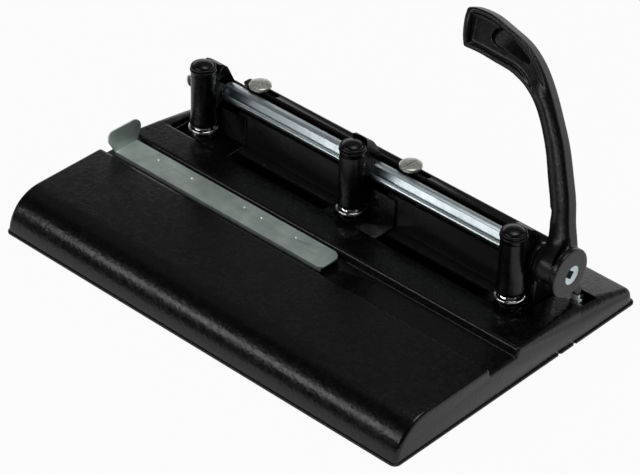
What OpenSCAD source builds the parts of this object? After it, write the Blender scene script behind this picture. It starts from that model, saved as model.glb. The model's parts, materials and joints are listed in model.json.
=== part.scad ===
// Heavy duty three-hole lever punch.
// Frame: X runs along the shaft to the handle, Y runs from the paper side to the back, Z is up.
// Origin: centre of the base's footprint, on the table.

/* [Base] */
// Length of the base, side to side
base_l = 276; // [270:1:300]
// Depth of the base, front to back
base_d = 186; // [180:1:200]
// Height of the deck above the table, at the front of the trough
deck_z = 21; // [20:0.5:24]
// Rise of the deck from the trough forward to the gauge's channel
deck_rise = 1.2; // [0.6:0.1:1.5]
// Height of the nose above the table
nose_z = 22; // [21:0.5:24]
// Height of the rear edge above the table
tail_z = 12.5; // [10:0.5:14]
// Height of the base's rim above the table
rim_z = 0.8; // [0.5:0.1:1.5]
// Sheet thickness of the pressed base
shell_t = 1.5; // [1.2:0.1:1.8]
// Outward lip round the rim
lip = 0.8; // [0.6:0.1:1.5]
// Depth of the rounded front nose
nose_d = 22.5; // [18:0.5:28]
// Depth of the rear slope behind the rail
tail_d = 31; // [28:0.5:33]
// Plan radius of the base's corners
corner_r = 3; // [2.5:0.5:6]

/* [Paper gauge] */
// Front edge of the gauge's channel in the deck
channel_y = -23.4; // [-24:0.1:-22]
// Width of the channel
channel_w = 20; // [19.8:0.1:21]
// Depth of the channel below the deck
channel_d = 3.4; // [3:0.1:4]
// Width of the gauge strip
gauge_w = 16.2; // [14:0.1:17]
// Length of the gauge strip
gauge_l = 151; // [130:1:170]
// Sheet thickness of the gauge strip
gauge_t = 1; // [0.8:0.1:1.2]
// How far the gauge pulls out to the left
gauge_travel = 90; // [60:1:100]

/* [Punching] */
// Distance between neighbouring holes
head_pitch = 107.95; // [106:0.05:110]
// Distance of the hole line behind the base's centre line
head_y = 25; // [24:0.5:26]
// Distance from the hole line back to the paper stop
margin = 8.4; // [8.4:0.1:9]
// Diameter of the punched hole
hole_d = 7.14; // [5.5:0.01:7.2]
// Height of the throat that the paper slides into
throat_h = 4.3; // [4.2:0.1:4.6]
// Handle angle from rest to the end of its stroke
sweep = 52; // [48:1:54]
// Radius from the shaft's axis to the middle of a crank's nose
crank_r = 11.5; // [11.3:0.1:11.7]
// Radius of a crank's nose
nose_r = 2.3; // [2:0.1:2.4]

/* [Heads] */
// Outer diameter of a head's barrel
barrel_d = 12.6; // [12.4:0.1:13]
// Bore of the barrel
barrel_bore = 9.2; // [9.1:0.05:9.4]
// Width of a head's frame along the shaft
frame_w = 10; // [9.6:0.2:11]
// Reach of a head's paper plate to the left of its hole
plate_left = 13.5; // [12:0.5:14]
// Reach of a head's paper plate to the right of its hole
plate_right = 23; // [22:0.5:26]
// Travel of a loosened head to the left
head_travel_left = 5; // [2:0.5:6]
// Travel of a loosened head to the right
head_travel_right = 12; // [4:0.5:14]
// Distance from a hole to its lock screw
lock_offset = 21; // [20:0.5:22]

/* [Shaft and handle] */
// Diameter of the drive shaft
shaft_d = 10.6; // [10.4:0.1:10.8]
// Distance of the shaft's axis behind the hole line
shaft_back = 14; // [13.8:0.1:14.2]
// Width of the shaft's keyway
key_w = 4.2; // [3.8:0.1:4.6]
// Depth of the shaft's keyway
key_d = 5.4; // [5:0.1:5.6]
// Length of the handle's hub
hub_l = 17.5; // [15:0.5:19]
// Radius of the hub's end disc
hub_disc_r = 12.6; // [12:0.2:14]
// Thickness of the handle's arm
arm_t = 9; // [8:0.5:10]
// Angle that the arm leans back at rest
lean = 23; // [15:1:28]

/* [Rail] */
// Sheet thickness of the folded rail
rail_t = 1.4; // [1.2:0.1:1.5]
// Height of the rail's top
rail_top = 51; // [50.8:0.1:52]
// Depth of the rail, paper stop to back
rail_d = 17; // [16.8:0.1:18]
// Width of the rail's front ledge
ledge_w = 6.8; // [6:0.2:7]

/* [Bottom] */
// Thickness of the bottom plate
plate_t = 1.2; // [1:0.1:1.4]
// Height of the rubber feet
foot_h = 2.2; // [2:0.1:2.4]
// Diameter of the rubber feet
foot_d = 17; // [14:0.5:18]
// Depth of the chip drawer, front to back
drawer_d = 52; // [48:1:54]
// How far the chip drawer pulls out
drawer_travel = 120; // [60:5:150]

/* [Fits] */
// Radial clearance of a running fit
run_fit = 0.05; // [0.02:0.01:0.08]
// Gap between pieces that slide past each other
gap = 0.3; // [0.3:0.05:0.35]

/* [Hidden] */

$fn = 64;
eps = 0.01;
black = [0.07, 0.07, 0.075];
zinc = [0.72, 0.74, 0.73];
steel = [0.6, 0.6, 0.62];

head_x = [-head_pitch, 0, head_pitch];
head_slides = [true, true, false];
stop_y = head_y + margin;
shaft_y = head_y + shaft_back;
shaft_r = shaft_d / 2;
die_z = deck_z + 0.1;
collar_z = die_z + throat_h;
shaft_z = collar_z + 19.6;

// crank and pin
half_sweep = sweep / 2;
crank_w = 6;
finger_h = 1.5;
crank_hub_r = shaft_r + 1.6;
crank_pocket_r = crank_hub_r + 0.4;
nose_rest_z = shaft_z + crank_r * sin(half_sweep);
notch_h = 2 * (nose_r + gap);
notch_y = shaft_y - crank_r - nose_r - gap;
tip_z = collar_z + 0.8;
shoulder_z = nose_rest_z - notch_h / 2 - 1.9;
plunger_top = nose_rest_z + notch_h / 2 + 3.4;

// head stack, bottom to top
collar_r = 8.15;
collar_h = 2;
neck_h = 2.1;
spigot_h = 1.5;
barrel_z = collar_z + collar_h + neck_h;
barrel_r = barrel_d / 2;
cap_z = plunger_top + 4.4;
plug_h = 2.6;
cap_h = 5.5;
jaw_z = 9.6;
jaw_h = 8.5;
die_r = 5.2;
boss_r = 6.5;
plate_h = 1;
stop_t = 0.8;
plate_top = shaft_z - 7.6;

// rail
wall_y = stop_y + stop_t + gap;
ledge_z = die_z - plate_h - gap;
foot_z = ledge_z - rail_t;
wall_top = shaft_z - shaft_r - 0.1;
rail_round = 3;
end_t = 2.4;
end_notch_z = wall_top - 3;
bush_r = shaft_r + 1.1;
boss_back_y = head_y + boss_r + gap + 0.4;
back_y = wall_y + rail_d;
lip_y = shaft_y + shaft_r + 0.5;
rail_x0 = -head_pitch - 13;
rail_x1 = head_pitch + 8;
rail_top_x0 = -head_pitch + 11;
low_z = shaft_z - 2;
foot_w = 8;
lock_y = back_y - rail_t - gap - 2.7;
lock_d = 3.2;
spine_y = back_y - rail_t - gap - 0.2;

// deck openings
trough_y = head_y - 6.8;
trough_x0 = head_x[0] - plate_left - head_travel_left - 1;
trough_x1 = rail_x1 + 2;
trough_y1 = back_y - rail_t + 0.2;

// handle and shaft
shaft_x0 = rail_x0 - 7.2;
bush_flange = 1;
washer_t = 0.8;
hub_x0 = rail_x1 + bush_flange + washer_t + 0.2;
hub_x1 = hub_x0 + hub_l;
hub_r = 9.5;

// stop behind the hub, and the slot in the deck over it
stop_x = [hub_x0 + 6, hub_x0 + 11];
stop_y0 = shaft_y + 15.6;
stop_top = shaft_z - 7.5 - gap;
slot_x = [stop_x[0] - 1, stop_x[1] + 3.5];
slot_y = [stop_y0 - 0.6, stop_y0 + 10.9];

// rear slope of the deck
tail_y = base_d / 2 - lip - tail_d;
tail_r = 4;
tail_fall = (foot_z - tail_z) / (tail_d - tail_r);

// bottom
plate_z = foot_h;
post_x = base_l / 2 - 16;
post_y = [-base_d / 2 + 43, base_d / 2 - 27];
drawer_h = 5;
drawer_z = plate_z + plate_t + gap;
drawer_y = head_y - 20;

// gauge
channel_z = deck_z - channel_d;
gauge_x1 = 21;
gauge_x0 = gauge_x1 - gauge_l;
gauge_y = channel_y + channel_w - 0.4 - gauge_w;
slot_w = 4.4;
rivet_x = [-8, 12];
rivet_y = gauge_y + gauge_w / 2;

// Points along an elliptical arc
function arc(cx, cy, rx, ry, a0, a1, n) =
    [for (i = [0:n]) let (a = a0 + (a1 - a0) * i / n) [cx + rx * cos(a), cy + ry * sin(a)]];

// Outline of a rectangle with round corners, centred
function round_rect(l, w, r, n = 5) = concat(
    arc(l / 2 - r, w / 2 - r, r, r, 0, 90, n),
    arc(-l / 2 + r, w / 2 - r, r, r, 90, 180, n),
    arc(-l / 2 + r, -w / 2 + r, r, r, 180, 270, n),
    arc(l / 2 - r, -w / 2 + r, r, r, 270, 360, n));

// Extrude an outline drawn in Y and Z along X, from x0 to x1
module along_x(x0, x1) {
    translate([x0, 0, 0]) rotate([90, 0, 90]) linear_extrude(x1 - x0) children();
}

// Cylinder along X, from x0 to x1, on the axis at y and z
module x_rod(x0, x1, y, z, r) {
    translate([x0, y, z]) rotate([0, 90, 0]) cylinder(r = r, h = x1 - x0);
}

// Box between two corners
module box(a, b) {
    translate(a) cube([b[0] - a[0], b[1] - a[1], b[2] - a[2]]);
}

// Round-headed machine screw pointing down, with a straight slot, underside of its head at the origin
module slotted_screw(head_r, head_h, shank_r, shank_l, slot, turn = 0) {
    difference() {
        union() {
            translate([0, 0, -shank_l]) cylinder(r = shank_r, h = shank_l + eps);
            cylinder(r = head_r, h = head_h * 0.75);
            translate([0, 0, head_h * 0.75 - eps])
                cylinder(r1 = head_r, r2 = head_r * 0.86, h = head_h * 0.25 + eps);
        }
        rotate(turn) translate([0, 0, head_h - slot / 2])
            cube([2 * head_r + 1, slot, slot + eps], center = true);
    }
}

// ---------------------------------------------------------------- base

// Front-to-back profile of the base, inset by t
function depth_profile(t, z0) =
    let (half = base_d / 2 - lip, edge = 2.6, riser_y = channel_y + channel_w, top = deck_z + deck_rise)
    concat([[-half + t, z0]],
           arc(-half + nose_d, rim_z, nose_d - t, nose_z - rim_z - t, 180, 90, 12),
           arc(channel_y - edge, nose_z - edge, edge - t, edge - t, 90, 0, 4),
           [[channel_y - t, channel_z - t],
            [riser_y + t, channel_z - t],
            [riser_y + 1.8 + t, channel_z + 2.7 - t],
            [riser_y + 3 + t, top - 0.7 - t],
            [riser_y + 4.6 + t, top - t],
            [trough_y, deck_z - t],
            [back_y - 3.5, foot_z - t],
            [tail_y, foot_z - t]],
           arc(half - 1 - tail_r, tail_z - tail_r, tail_r - t, tail_r - t, 77, 5, 5),
           [[half - t, z0]]);

// Side-to-side profile of the base, inset by t, with its upper edge rounded to r
function side_profile(t, z0, top, r) =
    let (half = base_l / 2 - lip, draft = 0.5)
    concat([[-half + t, z0], [-half + t, rim_z + 1]],
           arc(-half + draft + r, top - r, r - t, r - t, 180, 90, 6),
           arc(half - draft - r, top - r, r - t, r - t, 90, 0, 6),
           [[half - t, rim_z + 1], [half - t, z0]]);

// Stand a side-to-side profile up along Y, from y0 to y1
module along_y(y0, y1) {
    translate([0, y1, 0]) rotate([90, 0, 0]) linear_extrude(y1 - y0) children();
}

// Solid inside the base's outer skin, inset by t
module base_form(t) {
    z0 = t > 0 ? rim_z - 1 : rim_z;
    intersection() {
        along_x(-base_l / 2, base_l / 2) polygon(depth_profile(t, z0));
        union() {
            along_y(-base_d / 2, channel_y) polygon(side_profile(t, z0, nose_z, 2));
            along_y(channel_y - eps, base_d / 2) polygon(side_profile(t, z0, deck_z + deck_rise, 4));
        }
        translate([0, 0, z0 - eps]) linear_extrude(nose_z + 2)
            polygon(round_rect(base_l - 2 * (lip + t), base_d - 2 * (lip + t), corner_r - t));
    }
}

function post_top(y) = y < channel_y ? nose_z - 1.2 : foot_z - 1.2 - max(0, y - tail_y) * tail_fall;

module base_shell() color(black) difference() {
    union() {
        difference() {
            union() {
                base_form(0);
                translate([0, 0, rim_z]) linear_extrude(shell_t)
                    polygon(round_rect(base_l, base_d, corner_r + lip));
            }
            base_form(shell_t);
        }
        // threaded posts for the bottom plate
        for (x = [-post_x, post_x], y = post_y)
            translate([x, y, plate_z + plate_t]) cylinder(d = 7, h = post_top(y) - plate_z - plate_t);
    }
    // trough under the punching line and the rail
    box([trough_x0, trough_y, channel_z - 2], [trough_x1, trough_y1, deck_z + 1]);
    // slot for the gauge's rivets
    box([rivet_x[0] - gauge_travel - slot_w, rivet_y - slot_w / 2, channel_z - shell_t - 1],
        [rivet_x[1] + slot_w, rivet_y + slot_w / 2, channel_z + 1]);
    // slot in the deck over the handle stop
    box([slot_x[0], slot_y[0], foot_z - 5], [slot_x[1], slot_y[1], foot_z + 1]);
    for (x = [-post_x, post_x], y = post_y)
        translate([x, y, plate_z]) cylinder(d = 3.2, h = 10.8);
    for (p = rail_screw_at)
        translate([p[0], p[1], foot_z - 8]) cylinder(d = 3, h = 9);
    // way out for the chip drawer in the left skirt
    box([-base_l / 2 - 1, drawer_y - 0.6, rim_z - 1],
        [-base_l / 2 + 8, drawer_y + drawer_d + 0.6, drawer_z + drawer_h + 0.6]);
    // two small notches in the right rim
    for (y = [31, 43])
        box([base_l / 2 - 4, y - 1.2, rim_z - 1], [base_l / 2 + 1, y + 1.2, rim_z + 1.6]);
}

module bottom_plate() color(black) difference() {
    less = 2 * (lip + shell_t + 1.2);
    translate([0, 0, plate_z]) linear_extrude(plate_t)
        polygon(round_rect(base_l - less, base_d - less, corner_r - shell_t));
    for (x = [-post_x, post_x], y = post_y)
        translate([x, y, plate_z - 1]) cylinder(d = 4.4, h = plate_t + 2);
}

module bottom_screws() color(zinc)
    for (x = [-post_x, post_x], y = post_y)
        translate([x, y, plate_z]) rotate([180, 0, 0]) slotted_screw(3.6, 1.4, 1.6, plate_t + 9, 0.7);

// Rubber foot with a pocket for the plate's screw
module foot(x, y) color([0.05, 0.05, 0.05]) translate([x, y, 0]) difference() {
    union() {
        cylinder(d1 = foot_d - 1, d2 = foot_d, h = 0.5);
        translate([0, 0, 0.5 - eps]) cylinder(d = foot_d, h = foot_h - 0.5 + eps);
    }
    translate([0, 0, -1]) cylinder(d = 8, h = foot_h + 2);
}

module chip_drawer() color([0.12, 0.12, 0.12]) {
    x0 = -base_l / 2 + lip + 0.6;
    x1 = head_pitch + 14;
    z0 = drawer_z;
    z1 = drawer_z + drawer_h;
    y0 = drawer_y;
    y1 = drawer_y + drawer_d;
    difference() {
        box([x0, y0, z0], [x1, y1, z1]);
        box([x0 + 1.6, y0 + 1.2, z0 + 1], [x1 - 1.2, y1 - 1.2, z1 + 1]);
    }
    // finger ledge under the drawer's front
    difference() {
        box([x0 - 1.5, y0 + 12, z1 - 1.4], [x0 + eps, y1 - 12, z1]);
        box([x0 - 2, y0 + 14, z1 - 2], [x0 - 1.2, y1 - 14, z1 - 0.6]);
    }
}

// ---------------------------------------------------------------- rail

rail_screw_at = [for (x = [rail_x0 + 12, -head_pitch / 2, head_pitch / 2, rail_x1 - 12])
    [x, back_y + foot_w / 2]];

// Cross-section of the folded rail: ledge, paper stop wall, floor, rear foot, back and top
function rail_profile() = concat(
    [[wall_y - ledge_w, foot_z], [back_y + foot_w, foot_z], [back_y + foot_w, ledge_z], [back_y, ledge_z]],
    arc(back_y - rail_round, rail_top - rail_round, rail_round, rail_round, 0, 90, 6),
    [[lip_y + 0.4, rail_top], [lip_y, rail_top - 0.4], [lip_y, rail_top - rail_t],
     [back_y - rail_t, rail_top - rail_t], [back_y - rail_t, ledge_z],
     [wall_y + rail_t, ledge_z], [wall_y + rail_t, wall_top], [wall_y, wall_top],
     [wall_y, ledge_z], [wall_y - ledge_w, ledge_z]]);

// Upright slot with round ends, from x0 to x1
module slot_hole(x0, x1, y, z0, z1, r) {
    for (x = [x0, x1])
        translate([x, y, z0]) cylinder(r = r, h = z1 - z0);
    box([x0, y - r, z0], [x1, y + r, z1]);
}

module rail() color(black) difference() {
    along_x(rail_x0, rail_x1) polygon(rail_profile());
    for (i = [0:2]) {
        left = frame_w / 2 + gap + (head_slides[i] ? head_travel_left : 0);
        right = frame_w / 2 + gap + (head_slides[i] ? head_travel_right : 0);
        boss = boss_r - frame_w / 2;
        // window for the head's frame
        box([head_x[i] - left, stop_y - gap, ledge_z - 3],
            [head_x[i] + right, back_y - rail_t, rail_top - rail_t]);
        // cut-out of the ledge for the head's die boss
        box([head_x[i] - left - boss, wall_y - ledge_w - 1, ledge_z - 3],
            [head_x[i] + right + boss, boss_back_y, ledge_z + 1]);
        if (head_slides[i])
            slot_hole(head_x[i] + lock_offset - head_travel_left, head_x[i] + lock_offset + head_travel_right,
                      lock_y, rail_top - 3, rail_top + 1, lock_d / 2 + 0.2);
    }
    // back and top are cut low at the left end
    box([rail_x0 - 1, lip_y - 1, low_z], [rail_top_x0, back_y + 1, rail_top + 1]);
    // notches that let the end plates stand forward over the wall
    for (x = [rail_x0 - 1, rail_x1 - end_t - 0.1])
        box([x, wall_y - 1, end_notch_z], [x + end_t + 1.1, wall_y + rail_t + 1, wall_top + 1]);
    for (p = rail_screw_at)
        translate([p[0], p[1], foot_z - 1]) cylinder(d = 3.4, h = 4);
    for (z = head_screw_z)
        translate([head_x[2], back_y - 3, z]) rotate([-90, 0, 0]) cylinder(d = 4.4, h = 5);
}

module rail_screws() color(zinc)
    for (p = rail_screw_at)
        translate([p[0], p[1], ledge_z]) slotted_screw(3.2, 1.8, 1.45, 6, 0.8, 30);

// End plate of the rail that carries a bush, from x0 on, cut low behind its eye or up to the rail's top
module end_plate(x0, low) color(black) difference() {
    front = wall_y + rail_t + 0.1;
    rear = back_y - rail_t - 0.1;
    under = rail_top - rail_t - 0.1;
    eye_r = 8.6;
    behind = low ? [[rear, low_z - 0.1]] : [[rear, under], [lip_y - gap, under]];
    from_a = low ? -12 : acos((lip_y - gap - shaft_y) / eye_r);
    low_a = 180 + asin((shaft_z - end_notch_z - 0.1) / eye_r);
    along_x(x0, x0 + end_t) polygon(concat(
        [[front, ledge_z + 0.1], [rear, ledge_z + 0.1]], behind,
        arc(shaft_y, shaft_z, eye_r, eye_r, from_a, low_a, 14),
        [[front, end_notch_z + 0.1]]));
    x_rod(x0 - 1, x0 + end_t + 1, shaft_y, shaft_z, bush_r);
}

// Flanged bronze bush in the end plate at x0, with its flange on the left or the right face
module shaft_bush(x0, flange_x) color([0.7, 0.5, 0.28]) difference() {
    union() {
        x_rod(x0, x0 + end_t, shaft_y, shaft_z, bush_r);
        x_rod(flange_x, flange_x + bush_flange, shaft_y, shaft_z, bush_r + 1.2);
    }
    x_rod(x0 - 3, x0 + 6, shaft_y, shaft_z, shaft_r + run_fit);
}

// ---------------------------------------------------------------- heads

head_screw_z = [deck_z + 8, deck_z + 16];

// Side outline of a head's frame: ear over the shaft, spine and lower jaw
function frame_outline(rear) = concat(
    [[head_y, barrel_z], [head_y, cap_z], [head_y + barrel_r + 0.9, cap_z]],
    arc(head_y - 1, shaft_z + 0.6, 20.8, 20.8, 67, 3, 10),
    [[rear, shaft_z - 0.5], [rear, jaw_z], [head_y, jaw_z], [head_y, jaw_z + jaw_h],
     [stop_y, jaw_z + jaw_h], [stop_y, barrel_z]]);

module barrel_form() rotate_extrude() polygon([
    [0, barrel_z], [barrel_r + 1.1, barrel_z], [barrel_r + 1.1, barrel_z + 1.5],
    [barrel_r + 0.3, barrel_z + 5], [barrel_r, barrel_z + 9], [barrel_r, cap_z], [0, cap_z]]);

module head_casting(i) color(black) translate([head_x[i], 0, 0]) {
    fixed = !head_slides[i];
    rear = fixed ? back_y - rail_t : spine_y;
    difference() {
        union() {
            translate([0, head_y, 0]) barrel_form();
            along_x(-frame_w / 2, frame_w / 2) polygon(frame_outline(rear));
            // paper plate and stop plate
            box([-plate_left, trough_y + 0.4, die_z - plate_h], [plate_right_of(i), stop_y + stop_t, die_z]);
            box([-plate_left, stop_y, die_z - plate_h], [plate_right_of(i), stop_y + stop_t, plate_top]);
            // die boss and jaw
            translate([0, head_y, jaw_z]) cylinder(r = boss_r, h = die_z - jaw_z);
            if (!fixed) {
                // arm and block for the lock screw, inside the rail
                box([0, spine_y - 2.4, shaft_z - 14], [lock_offset + 6, spine_y, low_z - 0.5]);
                box([lock_offset - 8.5, spine_y - 5, shaft_z - 4],
                    [lock_offset + 6, spine_y, rail_top - rail_t - gap]);
            }
        }
        // barrel bore, with the seat of the cap above and of the collar below
        translate([0, head_y, barrel_z - 1]) cylinder(d = barrel_bore, h = cap_z - barrel_z + 2);
        // bore for the shaft and pocket for the crank
        x_rod(-frame_w, frame_w, shaft_y, shaft_z, shaft_r + run_fit);
        x_rod(-crank_w / 2 - gap, crank_w / 2 + gap, shaft_y, shaft_z, crank_pocket_r);
        window = crank_r * sin(half_sweep) + nose_r + 0.6;
        box([-crank_w / 2 - gap, head_y, shaft_z - window], [crank_w / 2 + gap, shaft_y, shaft_z + window]);
        // seat of the die bush and way out for the chips
        translate([0, head_y, jaw_z + 3.4]) cylinder(r = die_r, h = 20 - jaw_z);
        translate([0, head_y, jaw_z - 1]) cylinder(d = hole_d + 1.4, h = 6);
        if (fixed)
            for (z = head_screw_z)
                translate([0, rear - 8, z]) rotate([-90, 0, 0]) cylinder(d = 3.3, h = 9);
        else
            translate([lock_offset, lock_y, shaft_z - 2]) cylinder(d = lock_d - 0.2, h = 8);
    }
}

function plate_right_of(i) = head_slides[i] ? plate_right : rail_x1 - head_x[i] - end_t;

module head_cap(i) color(black) translate([head_x[i], head_y, cap_z]) rotate_extrude() polygon(concat(
    [[0, -plug_h], [barrel_bore / 2 - 0.1, -plug_h], [barrel_bore / 2 - 0.1, 0], [barrel_r, 0]],
    arc(barrel_r, 0.9, 0.45, 0.8, -80, 80, 4),
    [[barrel_r - 0.1, 1.9]],
    arc(barrel_r - 0.1, 3.2, 0.6, 1.2, -70, 80, 6),
    arc(barrel_r - 1.7, cap_h - 1, 0.8, 0.8, 20, 90, 4),
    [[0, cap_h]]));

module foot_collar(i) color([0.85, 0.85, 0.86]) translate([head_x[i], head_y, collar_z])
    rotate_extrude() polygon(concat([[hole_d / 2 + run_fit, 0], [collar_r - 0.8, 0]],
    arc(collar_r - 0.8, collar_h / 2, 0.8, collar_h / 2, -90, 90, 8),
    [[barrel_r - 0.2, collar_h], [barrel_r - 0.2, collar_h + neck_h],
     [barrel_bore / 2 - 0.02, collar_h + neck_h], [barrel_bore / 2 - 0.02, collar_h + neck_h + spigot_h],
     [hole_d / 2 + run_fit, collar_h + neck_h + spigot_h]]));

module die_bush(i) color(steel) translate([head_x[i], head_y, jaw_z + 3.4]) difference() {
    cylinder(r = die_r, h = die_z - jaw_z - 3.4);
    translate([0, 0, -1]) cylinder(d = hole_d + 2 * run_fit, h = 20);
    translate([0, 0, -1]) cylinder(d = hole_d + 1.4, h = die_z - jaw_z - 3.4 - 3);
}

module punch_pin(i) color(steel) translate([head_x[i], head_y, 0]) difference() {
    union() {
        translate([0, 0, tip_z]) cylinder(d = hole_d, h = shoulder_z - tip_z + eps);
        translate([0, 0, shoulder_z]) cylinder(d = barrel_bore - 2 * run_fit, h = plunger_top - shoulder_z);
    }
    // notch for the crank's nose
    box([-barrel_r, notch_y - head_y, nose_rest_z - notch_h / 2],
        [barrel_r, barrel_r, nose_rest_z + notch_h / 2]);
    // hollow cutting face
    translate([0, 0, tip_z - 8.4]) rotate([90, 0, 0]) cylinder(r = 9, h = 20, center = true);
}

// Helical return spring under the plunger, wound from short straight links
module return_spring(i) color(zinc) {
    z0 = collar_z + collar_h + neck_h + spigot_h + 0.05;
    z1 = shoulder_z - 0.05;
    wire_r = 0.35;
    mid_r = barrel_bore / 2 - 0.12 - wire_r;
    turns = 5;
    steps = 12 * turns;
    sides = 6;
    rise = z1 - z0 - 2 * wire_r;
    ring = [for (s = [0:steps]) let (a = 360 * s / 12, z = z0 + wire_r + rise * s / steps)
        for (k = [0:sides - 1]) let (b = 360 * k / sides, r = mid_r + wire_r * cos(b))
            [r * cos(a), r * sin(a), z + wire_r * sin(b)]];
    wall = [for (s = [0:steps - 1]) for (k = [0:sides - 1])
        let (a = s * sides + k, b = s * sides + (k + 1) % sides)
            [a, a + sides, b + sides, b]];
    translate([head_x[i], head_y, 0]) polyhedron(points = ring,
        faces = concat(wall, [[for (k = [0:sides - 1]) k]],
                       [[for (k = [sides - 1:-1:0]) steps * sides + k]]));
}

module crank(i) color(steel) translate([head_x[i], shaft_y, shaft_z]) {
    difference() {
        union() {
            x_rod(-crank_w / 2, crank_w / 2, 0, 0, crank_hub_r);
            rotate([-half_sweep, 0, 0]) {
                box([-crank_w / 2, -crank_r, -finger_h], [crank_w / 2, 0, finger_h]);
                x_rod(-crank_w / 2, crank_w / 2, -crank_r, 0, nose_r);
            }
        }
        x_rod(-crank_w, crank_w, 0, 0, shaft_r + run_fit);
    }
    // tooth in the shaft's keyway
    difference() {
        box([-crank_w / 2, -shaft_r - 0.4, -key_w / 2 + 0.1],
            [crank_w / 2, -shaft_r + key_d - 0.2, key_w / 2 - 0.1]);
        rotate([90, 0, 90]) difference() {
            cylinder(r = crank_hub_r + 4, h = crank_w + 2, center = true);
            cylinder(r = crank_hub_r - 0.2, h = crank_w + 3, center = true);
        }
    }
}

module lock_screw(i) color(zinc) translate([head_x[i] + lock_offset, lock_y, rail_top + gap])
    slotted_screw(6.2, 2.4, lock_d / 2 - 0.12, 6.4, 1.2, 55);

module head_screws() color(zinc)
    for (z = head_screw_z)
        translate([head_x[2], back_y, z]) rotate([-90, 0, 0]) slotted_screw(3.8, 2, 1.62, 8, 0.9);

// ---------------------------------------------------------------- shaft and handle

module drive_shaft() color([0.8, 0.82, 0.83]) difference() {
    x_rod(shaft_x0, hub_x1 - 0.2, shaft_y, shaft_z, shaft_r);
    box([shaft_x0 - 1, shaft_y - shaft_r - 1, shaft_z - key_w / 2],
        [hub_x1 + 1, shaft_y - shaft_r + key_d, shaft_z + key_w / 2]);
    // groove for the clip
    difference() {
        x_rod(shaft_x0 + 1.2, shaft_x0 + 2.2, shaft_y, shaft_z, shaft_r + 1);
        x_rod(shaft_x0 + 1, shaft_x0 + 3, shaft_y, shaft_z, shaft_r - 0.7);
    }
}

module shaft_clip() color(zinc) difference() {
    x_rod(shaft_x0 + 1.25, shaft_x0 + 2.15, shaft_y, shaft_z, shaft_r + 2.4);
    x_rod(shaft_x0, shaft_x0 + 3, shaft_y, shaft_z, shaft_r - 0.65);
    box([shaft_x0, shaft_y - shaft_r - 4, shaft_z - key_w / 2 - 0.4],
        [shaft_x0 + 3, shaft_y, shaft_z + key_w / 2 + 0.4]);
}

module thrust_washer() color(zinc) difference() {
    x0 = rail_x1 + bush_flange + 0.1;
    x_rod(x0, x0 + washer_t, shaft_y, shaft_z, shaft_r + 2.8);
    x_rod(rail_x1, hub_x1, shaft_y, shaft_z, shaft_r + run_fit);
}

// Middle line of the arm and grip in the arm's own plane, as [x, height above the shaft, half width]
arm_stations = [[hub_x0 + 8.8, 0, 7.7], [hub_x0 + 3.2, 22, 5.4], [hub_x0 - 5.4, 42, 5.8],
                [hub_x0 - 21, 67, 5.2], [hub_x0 - 36, 82, 6], [hub_x0 - 52, 89.4, 8.8],
                [hub_x0 - 74, 92, 10.3], [hub_x0 - 82, 92.2, 10.4]];
grip_from = 4;

// Catmull-Rom blend of the stations
function blend(p0, p1, p2, p3, t) =
    0.5 * (2 * p1 + (p2 - p0) * t + (2 * p0 - 5 * p1 + 4 * p2 - p3) * t * t
           + (3 * p1 - p0 - 3 * p2 + p3) * t * t * t);
function station(i) = arm_stations[max(0, min(len(arm_stations) - 1, i))];
function arm_line(from, to, n) =
    [for (i = [from:to - 1], k = [0:n - 1])
        blend(station(i - 1), station(i), station(i + 1), station(i + 2), k / n)];
function side_of(line, i, w) =
    let (a = line[max(0, i - 1)], b = line[min(len(line) - 1, i + 1)],
         d = [b[0] - a[0], b[1] - a[1]], l = norm(d))
    [line[i][0] - d[1] / l * w, line[i][1] + d[0] / l * w];
// Closed outline of the arm, with its width less by inset and a round end
function arm_outline(from, inset, n = 5) =
    let (line = concat(arm_line(from, len(arm_stations) - 1, n), [station(len(arm_stations) - 1)]),
         last = line[len(line) - 1], w = last[2] - inset)
    concat([for (i = [0:len(line) - 1]) side_of(line, i, line[i][2] - inset)],
           [for (a = [-75:15:75]) [last[0] - (w - 2) * cos(a), last[1] + w * sin(a)]],
           [for (i = [len(line) - 1:-1:0]) side_of(line, i, -(line[i][2] - inset))]);

// Stand an outline drawn in the arm's plane on the shaft, from y0 to y1 behind the plane
module in_arm_plane(y0, y1) {
    translate([0, shaft_y, shaft_z]) rotate([-lean, 0, 0]) translate([0, y1, 0]) rotate([90, 0, 0])
        linear_extrude(y1 - y0) children();
}

module handle() color(black) difference() {
    union() {
        x_rod(hub_x0, hub_x1 - 1, shaft_y, shaft_z, hub_r);
        x_rod(hub_x0, hub_x0 + 4, shaft_y, shaft_z, hub_r + 1.8);
        x_rod(hub_x1 - 3.5, hub_x1, shaft_y - 0.5, shaft_z + 2.6, hub_disc_r);
        // lug that comes down on the stop
        box([stop_x[0], shaft_y + 5, stop_top + gap], [stop_x[1], stop_y0 + 2.4, stop_top + gap + 4]);
        in_arm_plane(-arm_t / 2 + 1.6, arm_t / 2 - 1.6) polygon(arm_outline(0, 0));
        in_arm_plane(-arm_t / 2, arm_t / 2) polygon(arm_outline(0, 1.6));
    }
    // hollow front of the grip
    in_arm_plane(-arm_t / 2 - 1, 0.5) polygon(arm_outline(grip_from, 3));
    x_rod(hub_x0 - 1, hub_x1 + 1, shaft_y, shaft_z, shaft_r + run_fit);
    // keyway in the hub and hole for the grub screw
    box([hub_x0 - 1, shaft_y - shaft_r - 1.8, shaft_z - key_w / 2],
        [hub_x1 - 4, shaft_y, shaft_z + key_w / 2]);
    translate([hub_x0 + 9, shaft_y, shaft_z - 20]) cylinder(d = 4.2, h = 20);
}

module hub_key() color(steel)
    box([hub_x0 + 1, shaft_y - shaft_r - 1.7, shaft_z - key_w / 2 + 0.05],
        [hub_x1 - 4.2, shaft_y - shaft_r + key_d - 0.1, shaft_z + key_w / 2 - 0.05]);

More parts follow.
